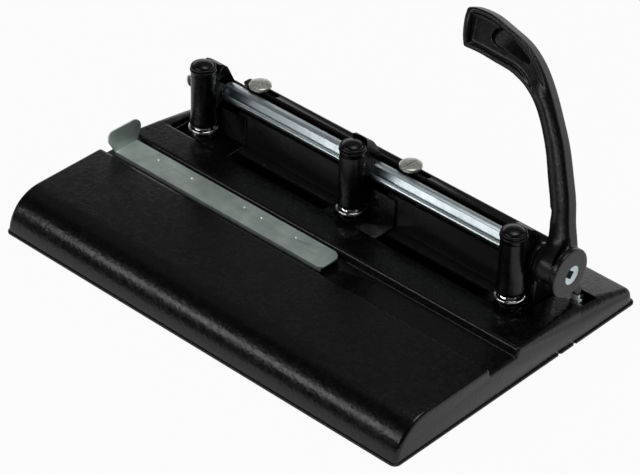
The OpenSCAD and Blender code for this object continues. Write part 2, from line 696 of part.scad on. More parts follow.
module grub_screw() color(steel) difference() {
    translate([hub_x0 + 9, shaft_y, shaft_z - shaft_r - 4.1]) cylinder(d = 4.1, h = 4.05);
    translate([hub_x0 + 9, shaft_y, shaft_z - shaft_r - 4.2]) cylinder(d = 2.4, h = 2, $fn = 6);
}

// Zinc bracket under the deck, whose upright stops the lug of the handle's hub on its way back
module handle_stop() color(zinc) {
    rear = stop_y0 + 2.9;
    z0 = foot_z - shell_t - 1.4 - max(0, rear - tail_y) * tail_fall;
    box([stop_x[0] - 5, stop_y0 - 8.6, z0], [stop_x[1] + 0.5, rear, z0 + 1.4]);
    box([stop_x[0], stop_y0, z0], [stop_x[1], stop_y0 + 1.6, stop_top]);
}

// ---------------------------------------------------------------- gauge

module gauge_strip() color(zinc) {
    z1 = deck_z;
    z0 = channel_z + gap;
    y1 = gauge_y + gauge_w;
    r = 6;
    difference() {
        intersection() {
            box([gauge_x0, gauge_y, z0], [gauge_x1, y1, z1]);
            translate([0, gauge_y + gauge_w / 2, z0]) linear_extrude(z1 - z0) polygon(concat(
                [[gauge_x0, -gauge_w / 2], [gauge_x0, gauge_w / 2]],
                arc(gauge_x1 - r, gauge_w / 2 - r, r, r, 90, 0, 6),
                arc(gauge_x1 - 2, -gauge_w / 2 + 2, 2, 2, 0, -90, 3)));
        }
        box([gauge_x0 - 1, gauge_y + gauge_t, z0 - 1], [gauge_x1 + 1, y1 - gauge_t, z1 - gauge_t]);
        box([gauge_x1 - r, gauge_y + gauge_t, z0 - 1], [gauge_x1 + 1, y1 + 1, z1 - gauge_t]);
        for (x = rivet_x)
            translate([x, rivet_y, z0]) cylinder(d = 2.6, h = 10);
    }
    // finger tab turned up at the left end
    translate([gauge_x0 - 0.5, gauge_y + gauge_w / 2, z1 - gauge_t]) rotate([0, -10, 0])
        rotate([90, 0, 90]) linear_extrude(gauge_t) polygon(concat(
            [[-gauge_w / 2 + 0.3, 0.2]],
            arc(-7, 8.4, 4.4, 4.4, 200, 90, 6),
            arc(8, 8.4, 4.4, 4.4, 90, -20, 6),
            [[gauge_w / 2 - 0.3, 0.2]]));
}

// Rivets that hold the gauge in its slot, with their washers under the deck
module gauge_rivets() color(zinc) {
    under = channel_z - shell_t - gap;
    for (x = rivet_x)
        translate([x, rivet_y, 0]) {
            translate([0, 0, under - 0.8]) cylinder(d = 7, h = 0.8);
            translate([0, 0, under - 1.2]) cylinder(d = 2.5, h = deck_z - under + 1.2);
            translate([0, 0, under - 0.1]) cylinder(d = 3.8, h = deck_z - gauge_t - under + 0.1);
            translate([0, 0, deck_z - eps]) cylinder(d1 = 3.6, d2 = 2.6, h = 0.3);
        }
}

base_shell();
bottom_plate();
bottom_screws();
foot(-post_x, post_y[0]);  // foot_front_left
foot(post_x, post_y[0]);  // foot_front_right
foot(-post_x, post_y[1]);  // foot_rear_left
foot(post_x, post_y[1]);  // foot_rear_right
chip_drawer();
rail();
rail_screws();
end_plate(rail_x0, true);  // end_plate_left
end_plate(rail_x1 - end_t, false);  // end_plate_right
shaft_bush(rail_x0, rail_x0 - bush_flange);  // shaft_bush_left
shaft_bush(rail_x1 - end_t, rail_x1);  // shaft_bush_right
handle_stop();
gauge_strip();
gauge_rivets();
head_casting(0);  // head_casting_left
head_casting(1);  // head_casting_middle
head_casting(2);  // head_casting_right
head_cap(0);  // head_cap_left
head_cap(1);  // head_cap_middle
head_cap(2);  // head_cap_right
foot_collar(0);  // foot_collar_left
foot_collar(1);  // foot_collar_middle
foot_collar(2);  // foot_collar_right
die_bush(0);  // die_bush_left
die_bush(1);  // die_bush_middle
die_bush(2);  // die_bush_right
punch_pin(0);  // punch_pin_left
punch_pin(1);  // punch_pin_middle
punch_pin(2);  // punch_pin_right
return_spring(0);  // return_spring_left
return_spring(1);  // return_spring_middle
return_spring(2);  // return_spring_right
crank(0);  // crank_left
crank(1);  // crank_middle
crank(2);  // crank_right
lock_screw(0);  // lock_screw_left
lock_screw(1);  // lock_screw_middle
head_screws();
drive_shaft();
shaft_clip();
thrust_washer();
handle();
hub_key();
grub_screw();
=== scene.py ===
# %% [markdown]
# # A heavy-duty three-hole lever punch
#
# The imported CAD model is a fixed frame: it holds the real sizes, the joints and the fits. This script gives
# every visible surface its finish, and models again the pieces whose looks are more than an extrusion: the
# pressed base, the cast handle, the punch heads, the shaft and the zinc paper gauge. Shapes are written in
# millimetres, and MM turns them into the metres that the frame uses.

# %% Load the frame
import json
from math import cos, hypot, pi, radians, sin

import bmesh
import bpy
from mathutils import Matrix, Vector


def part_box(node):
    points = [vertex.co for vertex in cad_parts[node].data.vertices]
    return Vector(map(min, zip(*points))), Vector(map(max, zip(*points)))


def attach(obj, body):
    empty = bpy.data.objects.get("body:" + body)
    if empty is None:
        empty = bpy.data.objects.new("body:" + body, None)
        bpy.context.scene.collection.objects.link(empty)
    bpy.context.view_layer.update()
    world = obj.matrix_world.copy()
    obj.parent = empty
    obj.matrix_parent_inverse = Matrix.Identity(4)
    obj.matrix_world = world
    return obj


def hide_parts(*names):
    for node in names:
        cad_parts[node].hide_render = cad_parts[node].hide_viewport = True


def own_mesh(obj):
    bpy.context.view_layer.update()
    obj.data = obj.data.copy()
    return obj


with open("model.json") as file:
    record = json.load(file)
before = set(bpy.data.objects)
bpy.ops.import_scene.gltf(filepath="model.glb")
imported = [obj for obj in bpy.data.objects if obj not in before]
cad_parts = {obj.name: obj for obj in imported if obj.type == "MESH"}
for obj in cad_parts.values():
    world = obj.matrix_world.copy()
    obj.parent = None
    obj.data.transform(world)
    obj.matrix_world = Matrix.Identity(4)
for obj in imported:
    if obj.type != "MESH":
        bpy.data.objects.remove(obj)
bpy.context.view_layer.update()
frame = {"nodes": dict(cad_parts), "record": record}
nodes = frame["nodes"]
MM = 0.001
print("nodes in the frame:", len(nodes))


def put(name, data):
    """A new object in the scene."""
    thing = bpy.data.objects.new(name, data)
    bpy.context.scene.collection.objects.link(thing)
    return thing


# %% [markdown]
# ## The camera
#
# The punch is seen from in front of its right end and from well above, through a long lens, so that its
# edges run nearly parallel. A camera in Blender looks along its own -Z, so its axes are worked out from the
# direction of the view: forward, then right, then up, and at last a small roll about the line of sight.

# %% Camera
CAMERA_PLACE = Vector((0.8424, -0.9314, 0.9191))  # in metres
AZIMUTH = radians(42.07)
ELEVATION = radians(35.61)
ROLL = radians(1.59)
LENS, SENSOR = 168.1, 36

forward = Vector((-sin(AZIMUTH) * cos(ELEVATION), cos(AZIMUTH) * cos(ELEVATION), -sin(ELEVATION)))
level = Vector((cos(AZIMUTH), sin(AZIMUTH), 0))
upward = level.cross(forward)
right = cos(ROLL) * level + sin(ROLL) * upward
up = -sin(ROLL) * level + cos(ROLL) * upward

camera_data = bpy.data.cameras.new("camera")
camera_data.sensor_width = SENSOR
camera_data.lens = LENS
camera_data.clip_end = 20
camera = put("camera", camera_data)
camera.matrix_world = Matrix((
    (right.x, up.x, -forward.x, CAMERA_PLACE.x),
    (right.y, up.y, -forward.y, CAMERA_PLACE.y),
    (right.z, up.z, -forward.z, CAMERA_PLACE.z),
    (0, 0, 0, 1)))
bpy.context.scene.camera = camera
bpy.context.scene.view_settings.view_transform = "Standard"
print("the camera stands", round(CAMERA_PLACE.length, 2), "m from the middle of the punch")

# %% [markdown]
# ## Node trees from a few words
#
# Every finish below is a small tree of shader nodes. A few helpers keep them readable: one starts a material
# and hands back its tree and its Principled shader, one adds a node and sets its inputs by name, and three
# more wire up what every finish needs: noise, a range that noise is spread over, and bumps.


# %% Helpers for node trees
materials = {}


def start_material(name):
    """A new material, kept by its name, with its tree and its shader."""
    material = bpy.data.materials.new(name)
    materials[name] = material
    material.use_nodes = True
    tree = material.node_tree
    return tree, tree.nodes["Principled BSDF"], material


def add_node(tree, kind, settings=None, **inputs):
    """A new node with its own settings, and with inputs set by name, underscores for spaces."""
    node = tree.nodes.new(kind)
    for key, value in (settings or {}).items():
        setattr(node, key, value)
    for key, value in inputs.items():
        node.inputs[key.replace("_", " ")].default_value = value
    return node


def noise(tree, place, scale, detail=3.0):
    """Noise with so many features per metre."""
    node = add_node(tree, "ShaderNodeTexNoise", Scale=scale, Detail=detail)
    tree.links.new(place, node.inputs["Vector"])
    return node.outputs["Fac"]


def spread(tree, value, low, high):
    """The middle of a noise's range, spread from low to high."""
    node = add_node(tree, "ShaderNodeMapRange", From_Min=0.3, From_Max=0.7, To_Min=low, To_Max=high)
    tree.links.new(value, node.inputs["Value"])
    return node.outputs["Result"]


def bumps(tree, height, distance, before=None):
    """Bumps of a height in metres, on top of those before them."""
    node = add_node(tree, "ShaderNodeBump", Strength=1.0, Distance=distance)
    tree.links.new(height, node.inputs["Height"])
    if before:
        tree.links.new(before, node.inputs["Normal"])
    return node.outputs["Normal"]


# %% [markdown]
# ## Black enamel
#
# The base, the rail, the heads and the handle are all sprayed with the same black enamel, but it lies
# differently on each. On the big pressed base it has a grain like leather, which shows where the nose
# catches the light. On the rail and the heads it is smoother, and on the handle it follows the slow waves of
# the casting below. One function makes all of them, from their grain and their gloss.


# %% Enamels
CLOUDS, DULL_SPOTS, WAVES = 60, 300, 45


def enamel(name, colour, gloss, grain, depth, waviness=0.0, shine=0.3):
    """Black paint: its level of grey, range of roughness, grain size and depth, slow waves and shine."""
    tree, shader, _ = start_material(name)
    place = add_node(tree, "ShaderNodeTexCoord").outputs["Object"]
    cloud = noise(tree, place, CLOUDS, detail=4)
    shade = add_node(tree, "ShaderNodeMix", {"data_type": "RGBA"})
    shade.inputs["A"].default_value = (colour, colour * 1.02, colour * 0.97, 1)
    shade.inputs["B"].default_value = (colour * 1.5, colour * 1.55, colour * 1.45, 1)
    tree.links.new(cloud, shade.inputs["Factor"])
    tree.links.new(shade.outputs["Result"], shader.inputs["Base Color"])
    tree.links.new(spread(tree, noise(tree, place, DULL_SPOTS), *gloss), shader.inputs["Roughness"])
    skin = bumps(tree, noise(tree, place, 1 / grain, detail=0), depth)
    if waviness:
        skin = bumps(tree, noise(tree, place, WAVES, detail=1), waviness, before=skin)
    tree.links.new(skin, shader.inputs["Normal"])
    shader.inputs["Specular IOR Level"].default_value = shine


enamel("base_enamel", 0.0015, (0.21, 0.31), grain=1.7 * MM, depth=0.075 * MM, shine=0.5)
enamel("rail_enamel", 0.010, (0.18, 0.28), grain=1.4 * MM, depth=0.03 * MM)
enamel("casting_enamel", 0.002, (0.22, 0.32), grain=1.2 * MM, depth=0.015 * MM, shine=0.4)
enamel("handle_enamel", 0.004, (0.26, 0.36), grain=1.5 * MM, depth=0.06 * MM, waviness=0.1 * MM, shine=0.5)
print("enamels:", len(materials))

# %% [markdown]
# ## Bare metals
#
# A metal's colour goes on the Base Color with Metallic at 1, and what makes it chrome or steel is mostly its
# roughness: the rings at the heads' feet are mirrors, the drawn shaft is softer. Zinc plate is dull and
# slightly mottled, with a greenish cast and faint rolling lines along the strip. Its skin has oxidised and
# scatters light like paint, so it is only partly metallic.


# %% Metals
SCRATCHES, SCRATCH_DEPTH = 900, 0.004 * MM


def metal(name, low_colour, high_colour, gloss, mottle=120, scratch=(1, 1, 1), metallic=1.0):
    """Bare metal: two colours that mottle into each other, a roughness range and drawn-out scratches."""
    tree, shader, _ = start_material(name)
    place = add_node(tree, "ShaderNodeTexCoord").outputs["Object"]
    shade = add_node(tree, "ShaderNodeMix", {"data_type": "RGBA"})
    shade.inputs["A"].default_value = (*low_colour, 1)
    shade.inputs["B"].default_value = (*high_colour, 1)
    tree.links.new(spread(tree, noise(tree, place, mottle, detail=4), 0, 1), shade.inputs["Factor"])
    tree.links.new(shade.outputs["Result"], shader.inputs["Base Color"])
    stretch = add_node(tree, "ShaderNodeMapping", Scale=scratch)
    tree.links.new(place, stretch.inputs["Vector"])
    lines = noise(tree, stretch.outputs["Vector"], SCRATCHES)
    tree.links.new(spread(tree, lines, *gloss), shader.inputs["Roughness"])
    tree.links.new(bumps(tree, lines, SCRATCH_DEPTH), shader.inputs["Normal"])
    shader.inputs["Metallic"].default_value = metallic


metal("zinc_plate", (0.60, 0.72, 0.66), (0.86, 0.97, 0.91), (0.30, 0.42), scratch=(0.2, 1, 1), metallic=0.6)
metal("zinc_screw", (0.58, 0.60, 0.54), (0.84, 0.84, 0.78), (0.24, 0.36), mottle=400, metallic=0.6)
metal("bright_shaft", (0.60, 0.69, 0.72), (0.74, 0.82, 0.85), (0.31, 0.41), scratch=(1, 0.1, 0.1))
metal("chrome_ring", (0.86, 0.86, 0.86), (0.92, 0.92, 0.92), (0.05, 0.10))
metal("tool_steel", (0.42, 0.42, 0.43), (0.56, 0.56, 0.57), (0.2, 0.34), scratch=(1, 1, 0.1))
metal("spring_wire", (0.5, 0.5, 0.5), (0.62, 0.62, 0.62), (0.2, 0.3))
metal("bronze_bush", (0.16, 0.12, 0.07), (0.26, 0.19, 0.11), (0.3, 0.44))
print("enamels and metals:", len(materials))

# %% [markdown]
# ## Rubber and moulded plastic
#
# The feet and the chip drawer hardly show, but they are seen when the punch is turned over or emptied. Both
# are black, and the rubber is the duller and coarser of the two.


# %% Rubber and plastic
DUST = 150


def matt_black(name, colour, roughness, grain, depth):
    """Rubber or plastic: its level of grey, roughness, grain size and depth."""
    tree, shader, _ = start_material(name)
    place = add_node(tree, "ShaderNodeTexCoord").outputs["Object"]
    dust = add_node(tree, "ShaderNodeMix", {"data_type": "RGBA"})
    dust.inputs["A"].default_value = (colour, colour, colour, 1)
    dust.inputs["B"].default_value = (colour * 1.6, colour * 1.6, colour * 1.5, 1)
    tree.links.new(noise(tree, place, DUST), dust.inputs["Factor"])
    tree.links.new(dust.outputs["Result"], shader.inputs["Base Color"])
    tree.links.new(bumps(tree, noise(tree, place, 1 / grain), depth), shader.inputs["Normal"])
    shader.inputs["Roughness"].default_value = roughness


matt_black("foot_rubber", 0.02, 0.8, grain=0.8 * MM, depth=0.03 * MM)
matt_black("drawer_plastic", 0.018, 0.5, grain=0.6 * MM, depth=0.02 * MM)
print("finishes:", ", ".join(sorted(materials)))

# %% [markdown]
# ## From mesh data to a piece of the punch
#
# A piece is a mesh that rides on one of the frame's bodies, takes its finish from one of the record's
# material slots, and often stands for a CAD node, which is then hidden. Its object stays at the origin, so
# all of its place is in its vertices.


# %% Helpers for pieces
def as_piece(name, mesh, body, slot, replaced=()):
    """Put a finished mesh into the scene, on its body and in place of the CAD nodes it replaces."""
    mesh.name = name
    mesh.materials.clear()
    mesh.materials.append(materials[slot])
    piece = put(name, mesh)
    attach(piece, body)
    if replaced:
        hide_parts(*replaced)
    return piece


def mesh_of(corners, faces):
    """A mesh from corners in millimetres."""
    mesh = bpy.data.meshes.new("mesh")
    mesh.from_pydata([Vector(c) * MM for c in corners], [], faces)
    mesh.validate()
    return mesh


def smooth(mesh, angle=35):
    """Shade the mesh smooth, but for edges sharper than an angle in degrees."""
    mesh.shade_smooth()
    mesh.set_sharp_from_angle(angle=radians(angle))
    return mesh


def with_modifiers(mesh, *steps):
    """The mesh after a list of modifiers, each given as a type and its settings."""
    holder = put("holder", mesh)
    for kind, settings in steps:
        modifier = holder.modifiers.new(kind.lower(), kind)
        for key, value in settings.items():
            setattr(modifier, key, value)
    graph = bpy.context.evaluated_depsgraph_get()
    result = bpy.data.meshes.new_from_object(holder.evaluated_get(graph))
    bpy.data.objects.remove(holder)
    return result


def merged_copy(node):
    """A CAD node's mesh with its loose triangles joined and its flat faces whole again."""
    mesh = nodes[node].data.copy()
    work = bmesh.new()
    work.from_mesh(mesh)
    bmesh.ops.remove_doubles(work, verts=work.verts, dist=0.002 * MM)
    bmesh.ops.dissolve_limit(work, angle_limit=radians(0.5), verts=work.verts, edges=work.edges)
    work.to_mesh(mesh)
    work.free()
    return mesh


def eased(mesh, width, angle=40, segments=2):
    """Round the sharp edges of a mesh by a width in millimetres."""
    rounding = dict(width=width * MM, segments=segments, limit_method="ANGLE", angle_limit=radians(angle),
                    harden_normals=False, use_clamp_overlap=True)
    return with_modifiers(mesh, ("BEVEL", rounding))


def block(low, high):
    """A box between two corners, in millimetres."""
    corners = [(x, y, z) for x in (low[0], high[0]) for y in (low[1], high[1]) for z in (low[2], high[2])]
    faces = [(0, 1, 3, 2), (4, 6, 7, 5), (0, 4, 5, 1), (2, 3, 7, 6), (0, 2, 6, 4), (1, 5, 7, 3)]
    return mesh_of(corners, faces)


def prism(outline, step):
    """A flat outline of points swept along a straight step."""
    count = len(outline)
    corners = list(outline) + [tuple(a + b for a, b in zip(corner, step)) for corner in outline]
    faces = [tuple(range(count)), tuple(range(2 * count - 1, count - 1, -1))]
    faces += [(k, (k + 1) % count, (k + 1) % count + count, k + count) for k in range(count)]
    return outward(mesh_of(corners, faces))


def joined(*meshes):
    """Several meshes in one, not yet united."""
    work = bmesh.new()
    for mesh in meshes:
        work.from_mesh(mesh)
    result = bpy.data.meshes.new("mesh")
    work.to_mesh(result)
    work.free()
    return result


def combined(mesh, others, operation):
    """The mesh after a boolean operation with each of the others in turn."""
    for other in others:
        tool = put("tool", other)
        mesh = with_modifiers(mesh, ("BOOLEAN", dict(operation=operation, solver="EXACT", object=tool)))
        bpy.data.objects.remove(tool)
    return mesh


def cut(mesh, *cutters):
    """The mesh less each of the cutters."""
    return combined(mesh, cutters, "DIFFERENCE")


def united(mesh, *others):
    """One closed mesh of all of them."""
    return combined(mesh, others, "UNION")


def turned(profile, steps=64, place=(0, 0, 0), along="Z"):
    """Spin a closed outline of [radius, height] points about an axis; points on the axis close it."""
    corners = []
    rings = []
    for radius, height in profile:
        if radius < 1e-6:
            rings.append([len(corners)] * steps)
            corners.append((0, 0, height))
        else:
            rings.append(list(range(len(corners), len(corners) + steps)))
            corners += [(radius * cos(2 * pi * k / steps), radius * sin(2 * pi * k / steps), height)
                        for k in range(steps)]
    faces = []
    for lower, upper in zip(rings, rings[1:] + rings[:1]):
        for k in range(steps):
            face = (lower[k], lower[(k + 1) % steps], upper[(k + 1) % steps], upper[k])
            face = tuple(dict.fromkeys(face))
            if len(face) > 2:
                faces.append(face)
    if along == "X":
        corners = [(c[2], c[0], c[1]) for c in corners]
    mesh = mesh_of([tuple(a + b for a, b in zip(c, place)) for c in corners], faces)
    return outward(mesh)


def outward(mesh):
    """The mesh with doubled corners merged and every face turned outward."""
    work = bmesh.new()
    work.from_mesh(mesh)
    bmesh.ops.remove_doubles(work, verts=work.verts, dist=0.001 * MM)
    bmesh.ops.recalc_face_normals(work, faces=work.faces)
    work.to_mesh(mesh)
    work.free()
    return mesh


def arc(centre, radii, start, end, steps):
    """Points along an elliptical arc, with its angles in degrees."""
    turns = [radians(start + (end - start) * k / steps) for k in range(steps + 1)]
    return [(centre[0] + radii[0] * cos(t), centre[1] + radii[1] * sin(t)) for t in turns]


def rounded(path, steps=5):
    """Replace each corner of a path of (u, v, radius) points by a bend of about that radius."""
    points = []
    for k, (u, v, radius) in enumerate(path):
        if not radius:
            points.append((u, v))
            continue
        here = Vector((u, v))
        back = (Vector(path[k - 1][:2]) - here).normalized()
        ahead = (Vector(path[k + 1][:2]) - here).normalized()
        half = back.angle(ahead) / 2
        reach = radius / abs(sin(half) / cos(half))
        first, last = here + back * reach, here + ahead * reach
        for s in range(steps + 1):
            t = s / steps
            points.append(tuple((1 - t) ** 2 * first + 2 * t * (1 - t) * here + t * t * last))
    return points


# %% [markdown]
# ## The pressed base
#
# The base is one sheet drawn over a form: a long round nose in front, a channel across it for the paper
# gauge, a deck that falls gently to the back, and a rounded rear edge. Seen from the side it is one outline,
# so a box or a stack of bevels would be the long way round. The outline is drawn once, from front to back,
# and stretched across the base. At both ends it shrinks along its own normals while it turns down by a
# quarter circle, as a drawn edge does. The edge is tight at the nose and soft at the back.

# %% Base: the outline from front to back
BASE_L, BASE_D = 276, 186
RIM, SHEET, LIP = 0.8, 1.5, 0.8
NOSE_Z, NOSE_D, NOSE_STEPS = 22.0, 22.5, 26
CHANNEL_FRONT, CHANNEL_BACK, CHANNEL_FLOOR = -23.4, -3.4, 17.6
DECK, RAIL_FOOT = 21.0, 18.2

half_d = BASE_D / 2 - LIP
half_l = BASE_L / 2 - LIP
nose = arc((-half_d + NOSE_D, RIM), (NOSE_D, NOSE_Z - RIM), 180, 90, NOSE_STEPS)
channel = rounded([
    (-60, NOSE_Z, 0), (CHANNEL_FRONT, NOSE_Z, 2.6), (CHANNEL_FRONT, CHANNEL_FLOOR, 0.7),
    (CHANNEL_BACK, CHANNEL_FLOOR, 0.7), (CHANNEL_BACK + 1.7, DECK + 1.2, 2.2), (16, DECK + 0.2, 0)], 6)[1:]
deck = rounded([(17, DECK + 0.2, 0), (34, 19.9, 14), (50, RAIL_FOOT, 16), (66, 15.7, 16),
                (half_d - 2.4, 10.4, 4.6), (half_d, RIM, 0)], 8)
front_to_back = nose + channel + deck
print("points on the outline:", len(front_to_back))


# %% Base: how tight its ends turn down
# pairs of y and the radius of the drawn edge there
END_RADII = [(-93, 3.0), (-84, 2.2), (-60, 1.9), (-27, 1.65), (2, 1.65), (12, 3.2),
             (30, 6.2), (50, 8.6), (70, 7.0), (84, 4.2), (93, 3.6)]
TURNS = range(90, -1, -10)
MIDDLE_X = (-60, 60)


def end_radius(y):
    """Radius of the drawn edge at both ends of the base, at y."""
    for (y0, r0), (y1, r1) in zip(END_RADII, END_RADII[1:]):
        if y <= y1:
            return r0 + (r1 - r0) * (y - y0) / (y1 - y0)
    return END_RADII[-1][1]


def normals_of(line):
    """The direction square to a line of points, at each of them."""
    result = []
    for k in range(len(line)):
        a, b = Vector(line[max(0, k - 1)]), Vector(line[min(len(line) - 1, k + 1)])
        along = (b - a).normalized()
        result.append(Vector((-along.y, along.x)))
    result[0], result[-1] = Vector((-1, 0)), Vector((1, 0))
    return result


def end_row(turn, side):
    """The outline at one end of the base, after its edge has turned down by an angle in degrees."""
    row = []
    for (y, z), normal in zip(front_to_back, outline_normals):
        radius = end_radius(y)
        drop = radius * (1 - cos(radians(turn)))
        x = half_l - radius + radius * sin(radians(turn))
        row.append((side * x, y - normal.x * drop, max(z - normal.y * drop, RIM)))
    return row


outline_normals = normals_of(front_to_back)
rows = [end_row(turn, -1) for turn in TURNS]
rows += [[(x, y, z) for y, z in front_to_back] for x in MIDDLE_X]
rows += [end_row(turn, 1) for turn in reversed(TURNS)]
width = len(front_to_back)
faces = [(i * width + j, (i + 1) * width + j, (i + 1) * width + j + 1, i * width + j + 1)
         for i in range(len(rows) - 1) for j in range(width - 1)]
faces += [tuple(reversed(range(width))), tuple((len(rows) - 1) * width + j for j in range(width))]
pan = with_modifiers(outward(mesh_of([c for row in rows for c in row], faces)),
                     ("SOLIDIFY", dict(thickness=SHEET * MM, offset=-1, use_even_offset=True)))
print("faces on the pan before its openings:", len(pan.polygons))

# %% Base: cut-outs, each from its low corner to its high one
TROUGH = ((-127.45, 18.2, 12), (117.95, 50.3, 26))
STOP_SLOT = ((122.95, 54, 10), (132.45, 65.5, 26))
RIVET_SLOT = ((-102.4, -14.1, 12), (16.4, -9.7, 19))
DRAWER_WAY = ((-BASE_L / 2 - 2, 4.4, -1), (-BASE_L / 2 + 8, 57.6, 9.3))
NOTCH_Y, NOTCH_HALF = (31, 43), 1.2


def notches(depth, top):
    """What cuts the two notches into the right end, to a depth and up to a height."""
    return [block((BASE_L / 2 - depth, y - NOTCH_HALF, -1), (BASE_L / 2 + 2, y + NOTCH_HALF, top))
            for y in NOTCH_Y]


trough = eased(block(*TROUGH), 2.0, segments=4)
stop_slot = block(*STOP_SLOT)
rivet_slot = eased(block(*RIVET_SLOT), 2.0, segments=4)
drawer_way = block(*DRAWER_WAY)
pan = cut(pan, trough, stop_slot, rivet_slot, drawer_way, *notches(4, 2.6))
pan = smooth(eased(outward(pan), 0.25, angle=50), 40)
as_piece("base_pan", pan, "base", "base_enamel", replaced=["base_shell"])
print("faces on the base:", len(pan.polygons))


# %% [markdown]
# ## The rolled rim
#
# All round the foot of the base the sheet turns out into a narrow lip. It is a small rounded section swept
# along the base's outline, with a gap where the drawer comes out. The two notches in the right end go only
# halfway through the lip, so no light shows in them.


# %% Rim
def plan_outline(half_x, half_y, radius, steps=8):
    """A rectangle with round corners, seen from above."""
    points = []
    for sign_x, sign_y, start in ((1, 1, 0), (-1, 1, 90), (-1, -1, 180), (1, -1, 270)):
        centre = (sign_x * (half_x - radius), sign_y * (half_y - radius))
        points += arc(centre, (radius, radius), start, start + 90, steps)
    return points


CORNER_R = 3.8
rim_section = rounded([(-2.0, RIM, 0), (0, RIM, 0.35), (0, 2.1, 0.7), (-0.9, 2.3, 0),
                       (-1.6, 2.6, 0), (-2.0, 2.6, 0)])
loops = [[(x, y, z) for x, y in plan_outline(BASE_L / 2 + d, BASE_D / 2 + d, CORNER_R + d)]
         for d, z in rim_section]
around = len(loops[0])
rim_faces = [(s * around + k, s * around + (k + 1) % around,
              (s + 1) % len(loops) * around + (k + 1) % around, (s + 1) % len(loops) * around + k)
             for s in range(len(loops)) for k in range(around)]
rim = outward(mesh_of([c for loop in loops for c in loop], rim_faces))
rim = cut(rim, drawer_way, *notches(1, 4))
as_piece("base_rim", smooth(rim, 50), "base", "base_enamel")
print("faces on the rim:", len(rim.polygons))

# %% [markdown]
# ## Plain parts of the frame
#
# Where a CAD node already has the right shape, its mesh is copied, its loose triangles are joined and its
# sharp edges are eased a little, because no real edge is perfectly sharp: that thin highlight along an edge
# is what makes a part look solid.

# %% Dressed copies of CAD nodes
SIDES = ("left", "middle", "right")
head_body = {"left": "head_left", "middle": "head_middle", "right": "base"}
body_of = {n: b for b, names in frame["record"]["behaviour"]["bodies"].items() for n in names}
slot_of = {s["node"]: s["material_slot"] for s in frame["record"]["subparts"]}


def dress(node, ease):
    """A piece that looks like a CAD node, with its edges eased."""
    mesh = merged_copy(node)
    if ease:
        mesh = eased(mesh, ease)
    return as_piece(node + "_dressed", smooth(mesh), body_of[node], slot_of[node], replaced=[node])


for node in ("end_plate_left", "end_plate_right", "bottom_plate", "chip_drawer"):
    dress(node, 0.25)
for side in SIDES:
    for part, ease in (("die_bush_", 0.15), ("punch_pin_", 0.1), ("foot_collar_", 0)):
        dress(part + side, ease)
for node in ("shaft_bush_left", "shaft_bush_right", "thrust_washer", "grub_screw"):
    dress(node, 0.1)
for node in ("foot_front_left", "foot_front_right", "foot_rear_left", "foot_rear_right"):
    dress(node, 0.3)

# %% [markdown]
# ## Screws and rivets
#
# Screws and rivets repeat, so each kind is modelled once and a Geometry Nodes tree sets it on every place
# that is given as a point. The tree turns each upright one by its own random angle, because nobody lines up
# the slots of screws, and then makes the instances real, since a piece has to be a plain mesh.


# %% Geometry Nodes: helpers
def node_group(name, inputs):
    """A new tree that takes and gives geometry, with further named inputs as (label, kind)."""
    tree = bpy.data.node_groups.new(name, "GeometryNodeTree")
    tree.interface.new_socket("Geometry", in_out="INPUT", socket_type="NodeSocketGeometry")
    for label, kind in inputs:
        tree.interface.new_socket(label, in_out="INPUT", socket_type="NodeSocket" + kind)
    tree.interface.new_socket("Geometry", in_out="OUTPUT", socket_type="NodeSocketGeometry")
    return tree, tree.nodes.new("NodeGroupInput"), tree.nodes.new("NodeGroupOutput")


def grown(points, tree, **values):
    """The plain mesh that a tree makes from a mesh of points."""
    holder = put("holder", points)
    modifier = holder.modifiers.new("nodes", "NODES")
    modifier.node_group = tree
    for item in tree.interface.items_tree:
        if item.in_out == "INPUT" and item.name in values:
            modifier[item.identifier] = values[item.name]
    graph = bpy.context.evaluated_depsgraph_get()
    result = bpy.data.meshes.new_from_object(holder.evaluated_get(graph))
    bpy.data.objects.remove(holder)
    return result


def end_tree(tree, enter, leave, placed):
    """Make the placed instances real, give them the finish that the tree is handed, and hand them back."""
    real = tree.nodes.new("GeometryNodeRealizeInstances")
    tree.links.new(placed.outputs["Instances"], real.inputs["Geometry"])
    finish = tree.nodes.new("GeometryNodeSetMaterial")
    tree.links.new(real.outputs["Geometry"], finish.inputs["Geometry"])
    tree.links.new(enter.outputs["Finish"], finish.inputs["Material"])
    tree.links.new(finish.outputs["Geometry"], leave.inputs["Geometry"])


# %% Geometry Nodes: a fastener on every point
set_fasteners, enter, leave = node_group("set_fasteners", [
    ("Fastener", "Object"), ("Finish", "Material"),
    ("Lowest", "Float"), ("Highest", "Float"), ("Seed", "Int")])
links = set_fasteners.links
kind = set_fasteners.nodes.new("GeometryNodeObjectInfo")
links.new(enter.outputs["Fastener"], kind.inputs["Object"])
angle = set_fasteners.nodes.new("FunctionNodeRandomValue")
for label, socket in (("Lowest", 2), ("Highest", 3), ("Seed", 8)):
    links.new(enter.outputs[label], angle.inputs[socket])
about_z = set_fasteners.nodes.new("ShaderNodeCombineXYZ")
links.new(angle.outputs[1], about_z.inputs["Z"])
placed = set_fasteners.nodes.new("GeometryNodeInstanceOnPoints")
links.new(enter.outputs["Geometry"], placed.inputs["Points"])
links.new(kind.outputs["Geometry"], placed.inputs["Instance"])
links.new(about_z.outputs["Vector"], placed.inputs["Rotation"])
end_tree(set_fasteners, enter, leave, placed)
SEED = 7


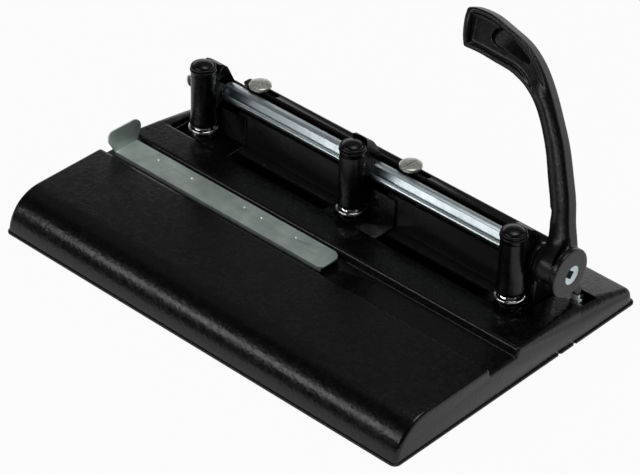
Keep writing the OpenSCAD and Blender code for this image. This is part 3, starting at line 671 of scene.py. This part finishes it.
def screw(head_r, head_h, shank_r, shank_l, slot, upside_down=False):
    """A slotted screw with a domed head, standing on the origin."""
    dome = [(head_r * cos(radians(a)), head_h * (0.62 + 0.38 * sin(radians(a)))) for a in range(20, 90, 14)]
    profile = [(0, -shank_l), (shank_r, -shank_l), (shank_r, 0), (head_r - 0.15, 0), (head_r, 0.2)]
    shape = turned(profile + [(head_r, head_h * 0.6)] + dome + [(0, head_h)], 48)
    groove = block((-head_r - 1, -slot / 2, head_h - slot * 0.9), (head_r + 1, slot / 2, head_h + 1))
    shape = eased(cut(shape, groove), 0.1, angle=50)
    if upside_down:
        shape.transform(Matrix.Rotation(pi, 4, "X"))
    return smooth(shape, 40)


def fasten(name, template, places, body, slot, replaced=(), highest=pi):
    """A piece of equal fasteners, one at each place, turned by up to the highest angle."""
    sample = put("sample", template)
    mesh = grown(mesh_of(places, []), set_fasteners, Fastener=sample, Finish=materials[slot], Lowest=0.0,
                 Highest=highest, Seed=SEED)
    bpy.data.objects.remove(sample)
    print(name, "fasteners:", len(places), "faces:", len(mesh.polygons))
    return as_piece(name, mesh, body, slot, replaced)


# %% Screws and rivets
HEADS, HEAD_Y = {"left": -107.95, "middle": 0, "right": 107.95}, 25
BOTTOM_SCREWS = [(x, y, 2.2) for x in (-122, 122) for y in (-50, 66)]
RAIL_SCREW_X, RAIL_SCREW_Z = (-108.95, -53.975, 53.975, 106.15), 19.8
HEAD_SCREW_Z = (29, 37)
GAUGE_RIVETS = [(-8, -11.9, 0), (12, -11.9, 0)]
LOCK_DX, LOCK_Y, LOCK_Z = 21, 47.1, 51.3
LOCK_TURN = {"left": 25, "middle": 85}

bottom_screw = screw(3.6, 1.4, 1.6, 10.2, 0.7, upside_down=True)
fasten("bottom_screw_set", bottom_screw, BOTTOM_SCREWS, "base", "zinc_screw", ["bottom_screws"])
rail_screw = screw(3.2, 1.8, 1.45, 6, 0.8)
low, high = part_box("rail_screws")
screw_y = (low[1] + high[1]) / 2 / MM
rail_screw_places = [(x, screw_y, RAIL_SCREW_Z) for x in RAIL_SCREW_X]
fasten("rail_screw_set", rail_screw, rail_screw_places, "base", "zinc_screw", ["rail_screws"])
head_screw = screw(3.8, 2, 1.62, 8, 0.9)
head_screw.transform(Matrix.Rotation(-pi / 2, 4, "X"))
low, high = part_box("head_screws")
head_screw_places = [(HEADS["right"], high[1] / MM - 2, z) for z in HEAD_SCREW_Z]
fasten("head_screw_set", head_screw, head_screw_places, "base", "zinc_screw", ["head_screws"], highest=0.0)
rivet = turned([(0, 14.6), (1.25, 14.6), (1.25, 15), (3.5, 15), (3.5, 15.8), (1.9, 15.8), (1.9, 19.9),
                (1.25, 19.9), (1.25, 20.95), (0, 20.95)], 32)
fasten("gauge_rivet_set", rivet, GAUGE_RIVETS, "gauge", "zinc_plate", ["gauge_rivets"])

for side, slot_turn in LOCK_TURN.items():
    lock = screw(6.2, 2.3, 1.5, 6.4, 1.3)
    lock_place = Matrix.Translation(Vector((HEADS[side] + LOCK_DX, LOCK_Y, LOCK_Z)) * MM)
    lock.transform(lock_place @ Matrix.Rotation(radians(slot_turn), 4, "Z"))
    node = "lock_screw_" + side
    as_piece(node + "_turned", lock, node, "zinc_screw", [node])

# %% [markdown]
# ## Return springs
#
# Each punch pin is pushed back up by a spring inside its barrel. Another small tree draws the wire: a spiral
# curve with a round profile swept along it, set on a point at the spring's foot.

# %% Geometry Nodes: a wound spring
wind_spring, enter, leave = node_group("wind_spring", [
    ("Turns", "Float"), ("Radius", "Float"), ("Rise", "Float"), ("Wire", "Float"), ("Finish", "Material")])
links = wind_spring.links
spiral = add_node(wind_spring, "GeometryNodeCurveSpiral", Resolution=24)
for label, socket in (("Turns", "Rotations"), ("Radius", "Start Radius"),
                      ("Radius", "End Radius"), ("Rise", "Height")):
    links.new(enter.outputs[label], spiral.inputs[socket])
section = add_node(wind_spring, "GeometryNodeCurvePrimitiveCircle", Resolution=10)
links.new(enter.outputs["Wire"], section.inputs["Radius"])
swept = add_node(wind_spring, "GeometryNodeCurveToMesh", Fill_Caps=True)
links.new(spiral.outputs["Curve"], swept.inputs["Curve"])
links.new(section.outputs["Curve"], swept.inputs["Profile Curve"])
placed = wind_spring.nodes.new("GeometryNodeInstanceOnPoints")
links.new(enter.outputs["Geometry"], placed.inputs["Points"])
links.new(swept.outputs["Mesh"], placed.inputs["Instance"])
end_tree(wind_spring, enter, leave, placed)

# %% Springs
WIRE_R, SPRING_R, SPRING_TURNS = 0.35, 4.13, 5.0
for side in SIDES:
    node = "return_spring_" + side
    low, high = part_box(node)
    foot = (HEADS[side], HEAD_Y, low[2] / MM + WIRE_R)
    spring = grown(mesh_of([foot], []), wind_spring, Turns=SPRING_TURNS, Radius=SPRING_R * MM,
                   Rise=high[2] - low[2] - 2 * WIRE_R * MM, Wire=WIRE_R * MM,
                   Finish=materials["spring_wire"])
    spring = smooth(outward(spring), 60)
    piece = as_piece(node + "_wound", spring, head_body[side], "spring_wire", [node])
    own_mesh(piece)

# %% [markdown]
# ## The paper gauge
#
# The gauge is a strip of zinc sheet folded down along both edges, with round corners at its right end.
# Somebody has marked it with a centre punch for the paper sizes in use, so it has a row of small dimples. The
# folds are eased first, and then the dimples are cut into the flat strip with turned tools, as a punch would
# leave them.

# %% Gauge
DIMPLES = [(-106.9, -9.7), (-82.2, -9.4), (-44, -8.8), (-30.8, -9.6), (-6.1, -9.7)]
DIMPLE_TOOL = [(0, 20.45), (0.7, 20.6), (1.35, 21.02), (1.4, 21.4), (0, 21.4)]
GAUGE_END = 22


def corner_cut(y, radius, side):
    """What rounds a corner of the strip's right end: side is 1 at the rear edge and -1 at the front one."""
    middle_x, middle_y = GAUGE_END - radius, y - side * radius
    bend = [(middle_x + radius * cos(k * pi / 20), middle_y + side * radius * sin(k * pi / 20))
            for k in range(11)]
    outline = [(GAUGE_END + 1, middle_y)] + bend + [(middle_x, y + side), (GAUGE_END + 1, y + side)]
    return prism([(u, v, 10) for u, v in outline], (0, 0, 14))


dimples = [turned(DIMPLE_TOOL, 24, (x, y, 0)) for x, y in DIMPLES]
gauge = cut(merged_copy("gauge_strip"), corner_cut(-3.8, 6, 1), corner_cut(-20, 5, -1))
gauge = cut(eased(gauge, 0.45, segments=5), *dimples)
as_piece("gauge_folded", smooth(gauge, 19), "gauge", "zinc_plate", ["gauge_strip"])
print("faces on the gauge:", len(gauge.polygons))

# %% [markdown]
# ## The punch heads
#
# Each head is a casting with a round barrel in front and a flat ear behind it that reaches over the shaft.
# The barrel is turned and flares a little at its foot, and the ear is a flat plate with a curved back. Both
# are united with the casting, so that the bevel which eases the edges runs on over the joints. The cap with
# its two beads is turned too, but it stays a piece of its own.

# %% Heads: turned and flat shapes
SHAFT_Y, SHAFT_Z = 39, 45
BARREL_R, BARREL_Z, CAP_Z = 6.8, 29.5, 60.44
BARREL = [(6.1, BARREL_Z), (7.3, BARREL_Z), (7.5, BARREL_Z + 0.4), (7.4, BARREL_Z + 1.8),
          (7.05, BARREL_Z + 4.5), (BARREL_R, BARREL_Z + 9), (BARREL_R, CAP_Z), (6.1, CAP_Z)]
CAP = [(0, CAP_Z - 4), (4.5, CAP_Z - 4), (4.5, CAP_Z), (6.6, CAP_Z), (6.75, CAP_Z + 0.2),
       (6.75, CAP_Z + 1.9)]
CAP += arc((6.8, CAP_Z + 2.6), (0.5, 0.7), -80, 80, 6) + [(6.35, CAP_Z + 3.5)]
CAP += arc((6.2, CAP_Z + 4.3), (0.75, 0.75), -70, 80, 6) + [(5.9, CAP_Z + 4.95)]
CAP += arc((0, CAP_Z + 4.6), (5.8, 2.3), 8, 80, 10) + [(0, CAP_Z + 6.95)]
# the ear's curved back, seen from the side, from its top down
EAR = [(30.6, 67.9), (33.2, 66.9), (35, 65.4), (36.4, 63.8), (37.7, 61.8), (39.4, 58.7), (41.5, 54.4),
       (43, 51.3), (44.3, 48.5)]
SPINDLE_R, WORKS_R, ROOM_R, ROOM_TOP = 5.4, 6.3, 7.5, 72
LIP_ROOM = (11, 44, 47.7), (29, 46.6, 51)


def on_axis(x0, x1, radius, steps=96):
    """A plain round bar on the shaft's axis."""
    return turned([(0, x0), (radius, x0), (radius, x1), (0, x1)], steps, (0, SHAFT_Y, SHAFT_Z), along="X")


def upright(x, z0, z1, radius):
    """A plain round bar on a head's own axis."""
    return turned([(0, z0), (radius, z0), (radius, z1), (0, z1)], 64, (x, HEAD_Y, 0))


def plate(x, outline, half=5.0):
    """A flat plate square to the shaft, its middle at x."""
    return prism([(x - half, y, z) for y, z in outline], (2 * half, 0, 0))


# %% Heads
for side in SIDES:
    x = HEADS[side]
    barrel = turned(BARREL, 96, (x, HEAD_Y, 0))
    ear = plate(x, [(28, 57), (28, 67.8)] + EAR + [(41, 47)])
    cap_room = upright(x, CAP_Z - 0.02, ROOM_TOP, ROOM_R)
    works_room = upright(x, 56, CAP_Z, WORKS_R)
    shaft_room = on_axis(x - 9, x + 9, SPINDLE_R, 64)
    ear = cut(ear, cap_room, works_room, shaft_room)
    above_ear = [(30.6, 67.8)] + EAR[1:] + [(45.2, 46.4), (52, 46.4), (52, ROOM_TOP), (30.6, ROOM_TOP)]
    node = "head_casting_" + side
    casting = cut(united(merged_copy(node), barrel, ear), plate(x, above_ear, half=5.3))
    if side in LOCK_TURN:
        # room for the rail's front lip beside the lock screw
        (x0, y0, z0), (x1, y1, z1) = LIP_ROOM
        casting = cut(casting, block((x + x0, y0, z0), (x + x1, y1, z1)))
    casting = smooth(eased(outward(casting), 0.3, angle=35), 40)
    as_piece(node + "_cast", casting, head_body[side], "casting_enamel", [node])
    node = "head_cap_" + side
    cap = smooth(turned(CAP, 96, (x, HEAD_Y, 0)), 50)
    as_piece(node + "_turned", cap, head_body[side], "casting_enamel", [node])
    print("faces on the", side, "head:", len(casting.polygons) + len(cap.polygons))

# %% [markdown]
# ## The rail
#
# The rail is one folded sheet. Its top ends in a front edge that is turned down just behind the shaft, and
# this edge is added to the rail here. The handle's stop is a bent tab whose top is cut off level.

# %% Rail
LIP_X0, LIP_X1 = -96.95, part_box("rail")[1][0] / MM
rail_lip = block((LIP_X0, 45.35, 48.2), (LIP_X1, 46.35, 50.2))
rail = united(merged_copy("rail"), rail_lip)
as_piece("rail_folded", smooth(eased(rail, 0.35), 40), "base", "rail_enamel", ["rail"])
print("faces on the rail:", len(rail.polygons))

# %% Handle's stop
STOP_TOP = 20.6
stop = cut(merged_copy("handle_stop"), block((118, 44, STOP_TOP), (140, 72, 45)))
as_piece("handle_stop_bent", smooth(eased(stop, 0.2), 40), "base", "zinc_plate", ["handle_stop"])

# %% [markdown]
# ## The shaft and what turns with it
#
# The shaft is a drawn bar with a keyway milled along its whole length, and a narrow flat beside it. The
# keyway stands up at an angle to the front when the handle is at rest, and so do the key in the hub, the
# cranks' teeth and the clip's gap.

# %% Shaft
SHAFT_R, KEY_TURN, KEY_W, KEY_D = 5.3, radians(38), 4.2, 5.4
on_shaft = Matrix.Translation(Vector((0, SHAFT_Y, SHAFT_Z)) * MM)


def turned_on_shaft(mesh, angle):
    """Turn a mesh about the shaft, its front upwards."""
    mesh.transform(on_shaft @ Matrix.Rotation(-angle, 4, "X") @ on_shaft.inverted())
    return mesh


def key_bar(x0, x1, outer, inner, half):
    """A bar along the shaft that stands at the keyway's angle."""
    bar = block((x0, SHAFT_Y - outer, SHAFT_Z - half), (x1, SHAFT_Y - inner, SHAFT_Z + half))
    return turned_on_shaft(bar, KEY_TURN)


low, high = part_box("drive_shaft")
shaft_x0, shaft_x1 = low[0] / MM, high[0] / MM
clip_groove = cut(on_axis(shaft_x0 + 1.2, shaft_x0 + 2.2, 6.5),
                  on_axis(shaft_x0 + 1, shaft_x0 + 3, SHAFT_R - 0.7))
milled = key_bar(shaft_x0 - 1, shaft_x1 + 1, 7, SHAFT_R - KEY_D, KEY_W / 2)
flat = block((shaft_x0 - 1, SHAFT_Y - 7, SHAFT_Z - 7), (shaft_x1 + 1, SHAFT_Y - 3.6, SHAFT_Z - 3.1))
flat = turned_on_shaft(flat, KEY_TURN)
shaft = cut(on_axis(shaft_x0, shaft_x1, SHAFT_R), milled, flat, clip_groove)
shaft = smooth(eased(shaft, 0.15, angle=50), 40)
as_piece("drive_shaft_bar", shaft, "handle", "bright_shaft", ["drive_shaft"])
for node in ("shaft_clip", "hub_key"):
    mesh = turned_on_shaft(merged_copy(node), KEY_TURN)
    as_piece(node + "_turned", smooth(eased(mesh, 0.1), 35), "handle", slot_of[node], [node])
for side in SIDES:
    node = "crank_" + side
    low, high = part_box(node)
    x0, x1 = low[0] / MM, high[0] / MM
    crank = cut(merged_copy(node), on_axis(x0 - 1, x1 + 1, SHAFT_R + 0.05))
    crank = united(crank, key_bar(x0, x1, SHAFT_R + 0.5, SHAFT_R - KEY_D + 0.2, KEY_W / 2 - 0.1))
    as_piece(node + "_toothed", smooth(eased(crank, 0.2), 35), body_of[node], slot_of[node], [node])
print("faces on the shaft:", len(shaft.polygons))

# %% [markdown]
# ## The cast handle
#
# The handle is one casting: a hub on the shaft, a flat arm that curves up and over, and a grip that is
# hollow in front like a spoon. It is built as rings of points along the arm's middle line, joined to the
# turned hub, and then remeshed finely, which melts the joints into the soft fillets of a real casting.
# After that a pocket deepens the hollow, a groove parts the arm's foot from the end disc, and a recess
# clears the right head's cap at full swing.

# %% Handle: the arm's own plane
LEAN = radians(23)
HUB_X0, HUB_X1 = 117.95, 135.45
HUB_R, SHOULDER_R, DISC_R, VOXEL = 9.5, 11.3, 13.4, 0.55


def on_arm(x, height, front):
    """A point of the leaning arm: x along the shaft, height up the arm, front towards the user."""
    y = SHAFT_Y + height * sin(LEAN) - front * cos(LEAN)
    z = SHAFT_Z + height * cos(LEAN) + front * sin(LEAN)
    return x, y, z


# each station: x, height, half width, thickness behind and in front of the middle, depth of the hollow
ARM = [
    (124.6, -7, 5.0, 6.0, 9.0, 0), (124.9, -4, 7.2, 6.4, 10.4, 0), (125.4, 2, 8.0, 6.2, 10.6, 0),
    (125.4, 7, 7.8, 5.4, 8.6, 0), (124.3, 13, 6.8, 4.6, 5.2, 0), (121.0, 22, 5.8, 4.4, 4.4, 0),
    (117.0, 32, 5.8, 4.4, 4.3, 0), (111.6, 42, 5.8, 4.4, 4.2, 0), (104.4, 55, 5.5, 4.4, 4.1, 0),
    (95.8, 67, 5.2, 4.4, 4.1, 0), (88.0, 76, 5.6, 4.4, 4.2, 0), (80.7, 82.2, 6.6, 4.4, 4.3, 1.3),
    (74.0, 86.2, 7.7, 4.4, 4.4, 2.8), (66.0, 89.3, 8.8, 4.4, 4.5, 3.2), (55.0, 91.1, 9.8, 4.4, 4.5, 2.6),
    (46.0, 92.4, 10.5, 4.4, 4.5, 2.4), (40.0, 92.5, 10.6, 4.4, 4.5, 2.4), (36.2, 92.2, 10.5, 4.4, 4.5, 2.4),
    (34.9, 92.0, 10.4, 4.4, 4.5, 0.3), (32.6, 91.6, 10.0, 4.0, 4.1, 0), (31.3, 91.3, 8.8, 3.0, 3.1, 0),
    (30.9, 91.2, 7.4, 1.6, 1.7, 0)]
ARM_PARTS = 110


def catmull(points, t):
    """A point of the smooth curve through the points, t of them from the first."""
    k = min(int(t), len(points) - 2)
    f = t - k
    p0, p1 = points[max(0, k - 1)], points[k]
    p2, p3 = points[k + 1], points[min(len(points) - 1, k + 2)]
    return [0.5 * (2 * b + (c - a) * f + (2 * a - 5 * b + 4 * c - d) * f * f
                   + (3 * b - a - 3 * c + d) * f ** 3)
            for a, b, c, d in zip(p0, p1, p2, p3)]


def arm_ring(station, ahead):
    """One ring of the arm's skin: a bar with eased corners, dished in front where the hollow is."""
    x, height, half, behind, front, hollow = station
    length = hypot(ahead[0] - x, ahead[1] - height) or 1
    across = (-(ahead[1] - height) / length, (ahead[0] - x) / length)
    soft, crisp = min(2.4, behind * 0.9), min(1.0, front * 0.5)
    wall = min(2.4, half * 0.3)
    ring = arc((half - soft, soft - behind), (soft, soft), 0, -90, 5)
    ring += arc((soft - half, soft - behind), (soft, soft), 270, 180, 5)
    ring += arc((crisp - half, front - crisp), (crisp, crisp), 180, 90, 3)
    crown = 1.5 * max(0, 1 - hollow / 1.5)
    face = [(wall - half, front - 0.02 + crown * 0.35),
            (wall + 0.3 - half, front - hollow * 0.4 + crown * 0.4),
            (wall + 0.9 - half, front - hollow * 0.95 + crown * 0.55)]
    ring += face + [(u * (half - wall - 1.4), front - hollow + crown * (1 - 0.3 * u * u))
                    for u in (-0.8, -0.3, 0.3, 0.8)]
    ring += [(-s, n) for s, n in reversed(face)]
    ring += arc((half - crisp, front - crisp), (crisp, crisp), 90, 0, 3)
    return [on_arm(x + across[0] * s, height + across[1] * s, n) for s, n in ring]


def arm_skin():
    """The arm and the grip as one closed skin of rings."""
    samples = [catmull(ARM, t * (len(ARM) - 1) / ARM_PARTS) for t in range(ARM_PARTS + 1)]
    rings = []
    for k, station in enumerate(samples):
        before, after = samples[max(0, k - 1)], samples[min(len(samples) - 1, k + 1)]
        ahead = (station[0] + after[0] - before[0], station[1] + after[1] - before[1])
        rings.append(arm_ring(station, ahead))
    count = len(rings[0])
    faces = [(r * count + k, r * count + (k + 1) % count,
              (r + 1) * count + (k + 1) % count, (r + 1) * count + k)
             for r in range(len(rings) - 1) for k in range(count)]
    faces += [tuple(range(count)), tuple((len(rings) - 1) * count + k for k in reversed(range(count)))]
    return outward(mesh_of([c for ring in rings for c in ring], faces))


# %% Handle: hub, end disc and the finished casting
def drum(x0, x1, radius, y, z, edge=0.8):
    """A round bar along x with rounded edges."""
    profile = rounded([(0, x0, 0), (radius, x0, edge), (radius, x1, edge), (0, x1, 0)], 4)
    return turned(profile, 72, (0, y, z), along="X")


hub = drum(HUB_X0, HUB_X1 - 1, HUB_R, SHAFT_Y, SHAFT_Z)
hub_shoulder = drum(HUB_X0, HUB_X0 + 4, SHOULDER_R, SHAFT_Y, SHAFT_Z)
end_disc = drum(HUB_X1 - 3.5, HUB_X1, DISC_R, SHAFT_Y - 1.6, SHAFT_Z + 1.8, edge=0.5)
stop_lug = prism([(HUB_X0 + 6, SHAFT_Y + 2, SHAFT_Z - 8.5), (HUB_X0 + 6, SHAFT_Y + 8.5, SHAFT_Z - 3),
                  (HUB_X0 + 6, 57, 24.9), (HUB_X0 + 6, 57, 20.9), (HUB_X0 + 6, 54, 20.9)], (5, 0, 0))


def fused(voxel, *meshes):
    """Closed meshes melted into one skin of even faces."""
    return with_modifiers(joined(*meshes), ("REMESH", dict(mode="VOXEL", voxel_size=voxel * MM)))


# the deep end of the hollow: round towards the tip, tapering towards the arm
POCKET = arc((52.3, 93.6), (4.6, 4.6), 95, 265, 10) + [(62, 88.4), (71, 87.4)]
POCKET += arc((72.4, 88.8), (1.4, 1.4), -90, 60, 4) + [(67.6, 94.4), (60, 96.8)]
FOOT_GROOVE = [(129.0, 3), (127.2, 15.5), (129.4, 18), (131.7, 14.5), (131.9, 8), (131.9, 3)]
FULL_SWING = radians(52)

pocket_floor = [on_arm(x, height, -3.3 + (98 - height) * 0.42) for x, height in POCKET]
pocket = prism(pocket_floor, (0, -10 * cos(LEAN), 10 * sin(LEAN)))
groove_floor = [on_arm(x, height, 3.0) for x, height in FOOT_GROOVE]
foot_groove = prism(groove_floor, (0, -12 * cos(LEAN), 12 * sin(LEAN)))
cap_room = turned([(0, 58), (7.5, 58), (7.5, 65.8), (6, 67.2), (0, 67.8)], 48, (HEADS["right"], HEAD_Y, 0))
cap_room = turned_on_shaft(cap_room, FULL_SWING)
bore = on_axis(HUB_X0 - 2, HUB_X1 + 2, SHAFT_R + 0.05, 64)

handle_mesh = fused(VOXEL, arm_skin(), hub, hub_shoulder, end_disc, stop_lug)
handle_mesh = cut(handle_mesh, pocket, foot_groove)
handle_mesh = cut(handle_mesh, cap_room)
handle_mesh = with_modifiers(handle_mesh, ("SMOOTH", dict(factor=0.5, iterations=4)))
handle_mesh = cut(handle_mesh, bore, key_bar(HUB_X0 - 2, HUB_X1 - 4, SHAFT_R + 1.8, 0, KEY_W / 2))
as_piece("handle_casting", smooth(handle_mesh, 60), "handle", "handle_enamel", replaced=["handle"])
print("faces on the handle:", len(handle_mesh.polygons))

# %% [markdown]
# ## Floor, lamps and world
#
# The punch stands on a plain white floor. Black enamel shows mostly what it mirrors, so the room is built for
# its reflections: a long, narrow soft box in front and to the left, which draws the bright line along the
# nose, a square one above, and a world that is white only low down behind the punch, with a dim ceiling and
# a dark side in front. The floor glows where it is seen straight or mirrored, which keeps it white.

# %% Floor
FLOOR_HALF, GLOW_SEEN, GLOW_MIRRORED = 3000, 0.95, 0.55

floor_corners = [(x * FLOOR_HALF, y * FLOOR_HALF, 0) for x, y in ((-1, -1), (1, -1), (1, 1), (-1, 1))]
floor_mesh = mesh_of(floor_corners, [(0, 1, 2, 3)])
floor = put("floor", floor_mesh)
tree, shader, floor_paint = start_material("floor_paint")
link = tree.links.new
shader.inputs["Base Color"].default_value = (0.9, 0.9, 0.9, 1)
shader.inputs["Roughness"].default_value = 0.9
glow = add_node(tree, "ShaderNodeEmission", Color=(1, 1, 1, 1), Strength=1.0)
path = add_node(tree, "ShaderNodeLightPath")
seen_straight = add_node(tree, "ShaderNodeMath", {"operation": "MULTIPLY"})
seen_straight.inputs[1].default_value = GLOW_SEEN
link(path.outputs["Is Camera Ray"], seen_straight.inputs[0])
seen_in_gloss = add_node(tree, "ShaderNodeMath", {"operation": "MULTIPLY_ADD"})
seen_in_gloss.inputs[1].default_value = GLOW_MIRRORED
link(path.outputs["Is Glossy Ray"], seen_in_gloss.inputs[0])
link(seen_straight.outputs["Value"], seen_in_gloss.inputs[2])
blend = add_node(tree, "ShaderNodeMixShader")
link(seen_in_gloss.outputs["Value"], blend.inputs["Fac"])
link(shader.outputs["BSDF"], blend.inputs[1])
link(glow.outputs["Emission"], blend.inputs[2])
link(blend.outputs["Shader"], tree.nodes["Material Output"].inputs["Surface"])
floor_mesh.materials.append(floor_paint)


# %% Lamps
def soft_box(name, place, size, power):
    """A rectangular lamp aimed at the middle of the punch: metres and watts."""
    lamp_data = bpy.data.lights.new(name, "AREA")
    lamp_data.shape = "RECTANGLE"
    lamp_data.size, lamp_data.size_y = size
    lamp_data.energy = power
    lamp = put(name, lamp_data)
    lamp.location = place
    lamp.rotation_euler = (-Vector(place)).to_track_quat("-Z", "Y").to_euler()


soft_box("front_soft_box", (-0.50, -1.34, 0.84), (1.6, 0.26), 5.2)
soft_box("top_soft_box", (0.1, 0.3, 2.0), (0.9, 0.9), 8)

# %% World: white low behind, dim above, dark in front
CEILING, FRONT, ROOM_LIGHT = 0.11, 0.025, 0.12

world = bpy.data.worlds.new("studio")
world.use_nodes = True
bpy.context.scene.world = world
tree = world.node_tree
link = tree.links.new
direction = add_node(tree, "ShaderNodeTexCoord").outputs["Generated"]
parts = add_node(tree, "ShaderNodeSeparateXYZ")
link(direction, parts.inputs["Vector"])
rise = add_node(tree, "ShaderNodeMapRange", {"interpolation_type": "SMOOTHSTEP"},
                From_Min=0.28, From_Max=0.44, To_Min=1.0, To_Max=CEILING)
link(parts.outputs["Z"], rise.inputs["Value"])
behind = add_node(tree, "ShaderNodeMapRange", {"interpolation_type": "SMOOTHSTEP"},
                  From_Min=-0.1, From_Max=0.3, To_Min=FRONT, To_Max=1.0)
link(parts.outputs["Y"], behind.inputs["Value"])
sweep = add_node(tree, "ShaderNodeMath", {"operation": "MINIMUM"})
link(rise.outputs["Result"], sweep.inputs[0])
link(behind.outputs["Result"], sweep.inputs[1])
path = add_node(tree, "ShaderNodeLightPath")
level_mix = add_node(tree, "ShaderNodeMix")
level_mix.inputs["A"].default_value = ROOM_LIGHT
link(path.outputs["Is Glossy Ray"], level_mix.inputs["Factor"])
link(sweep.outputs["Value"], level_mix.inputs["B"])
seen = add_node(tree, "ShaderNodeMix")
seen.inputs["B"].default_value = 1.0
link(path.outputs["Is Camera Ray"], seen.inputs["Factor"])
link(level_mix.outputs["Result"], seen.inputs["A"])
tree.nodes["Background"].inputs["Color"].default_value = (1, 1, 1, 1)
link(seen.outputs["Result"], tree.nodes["Background"].inputs["Strength"])
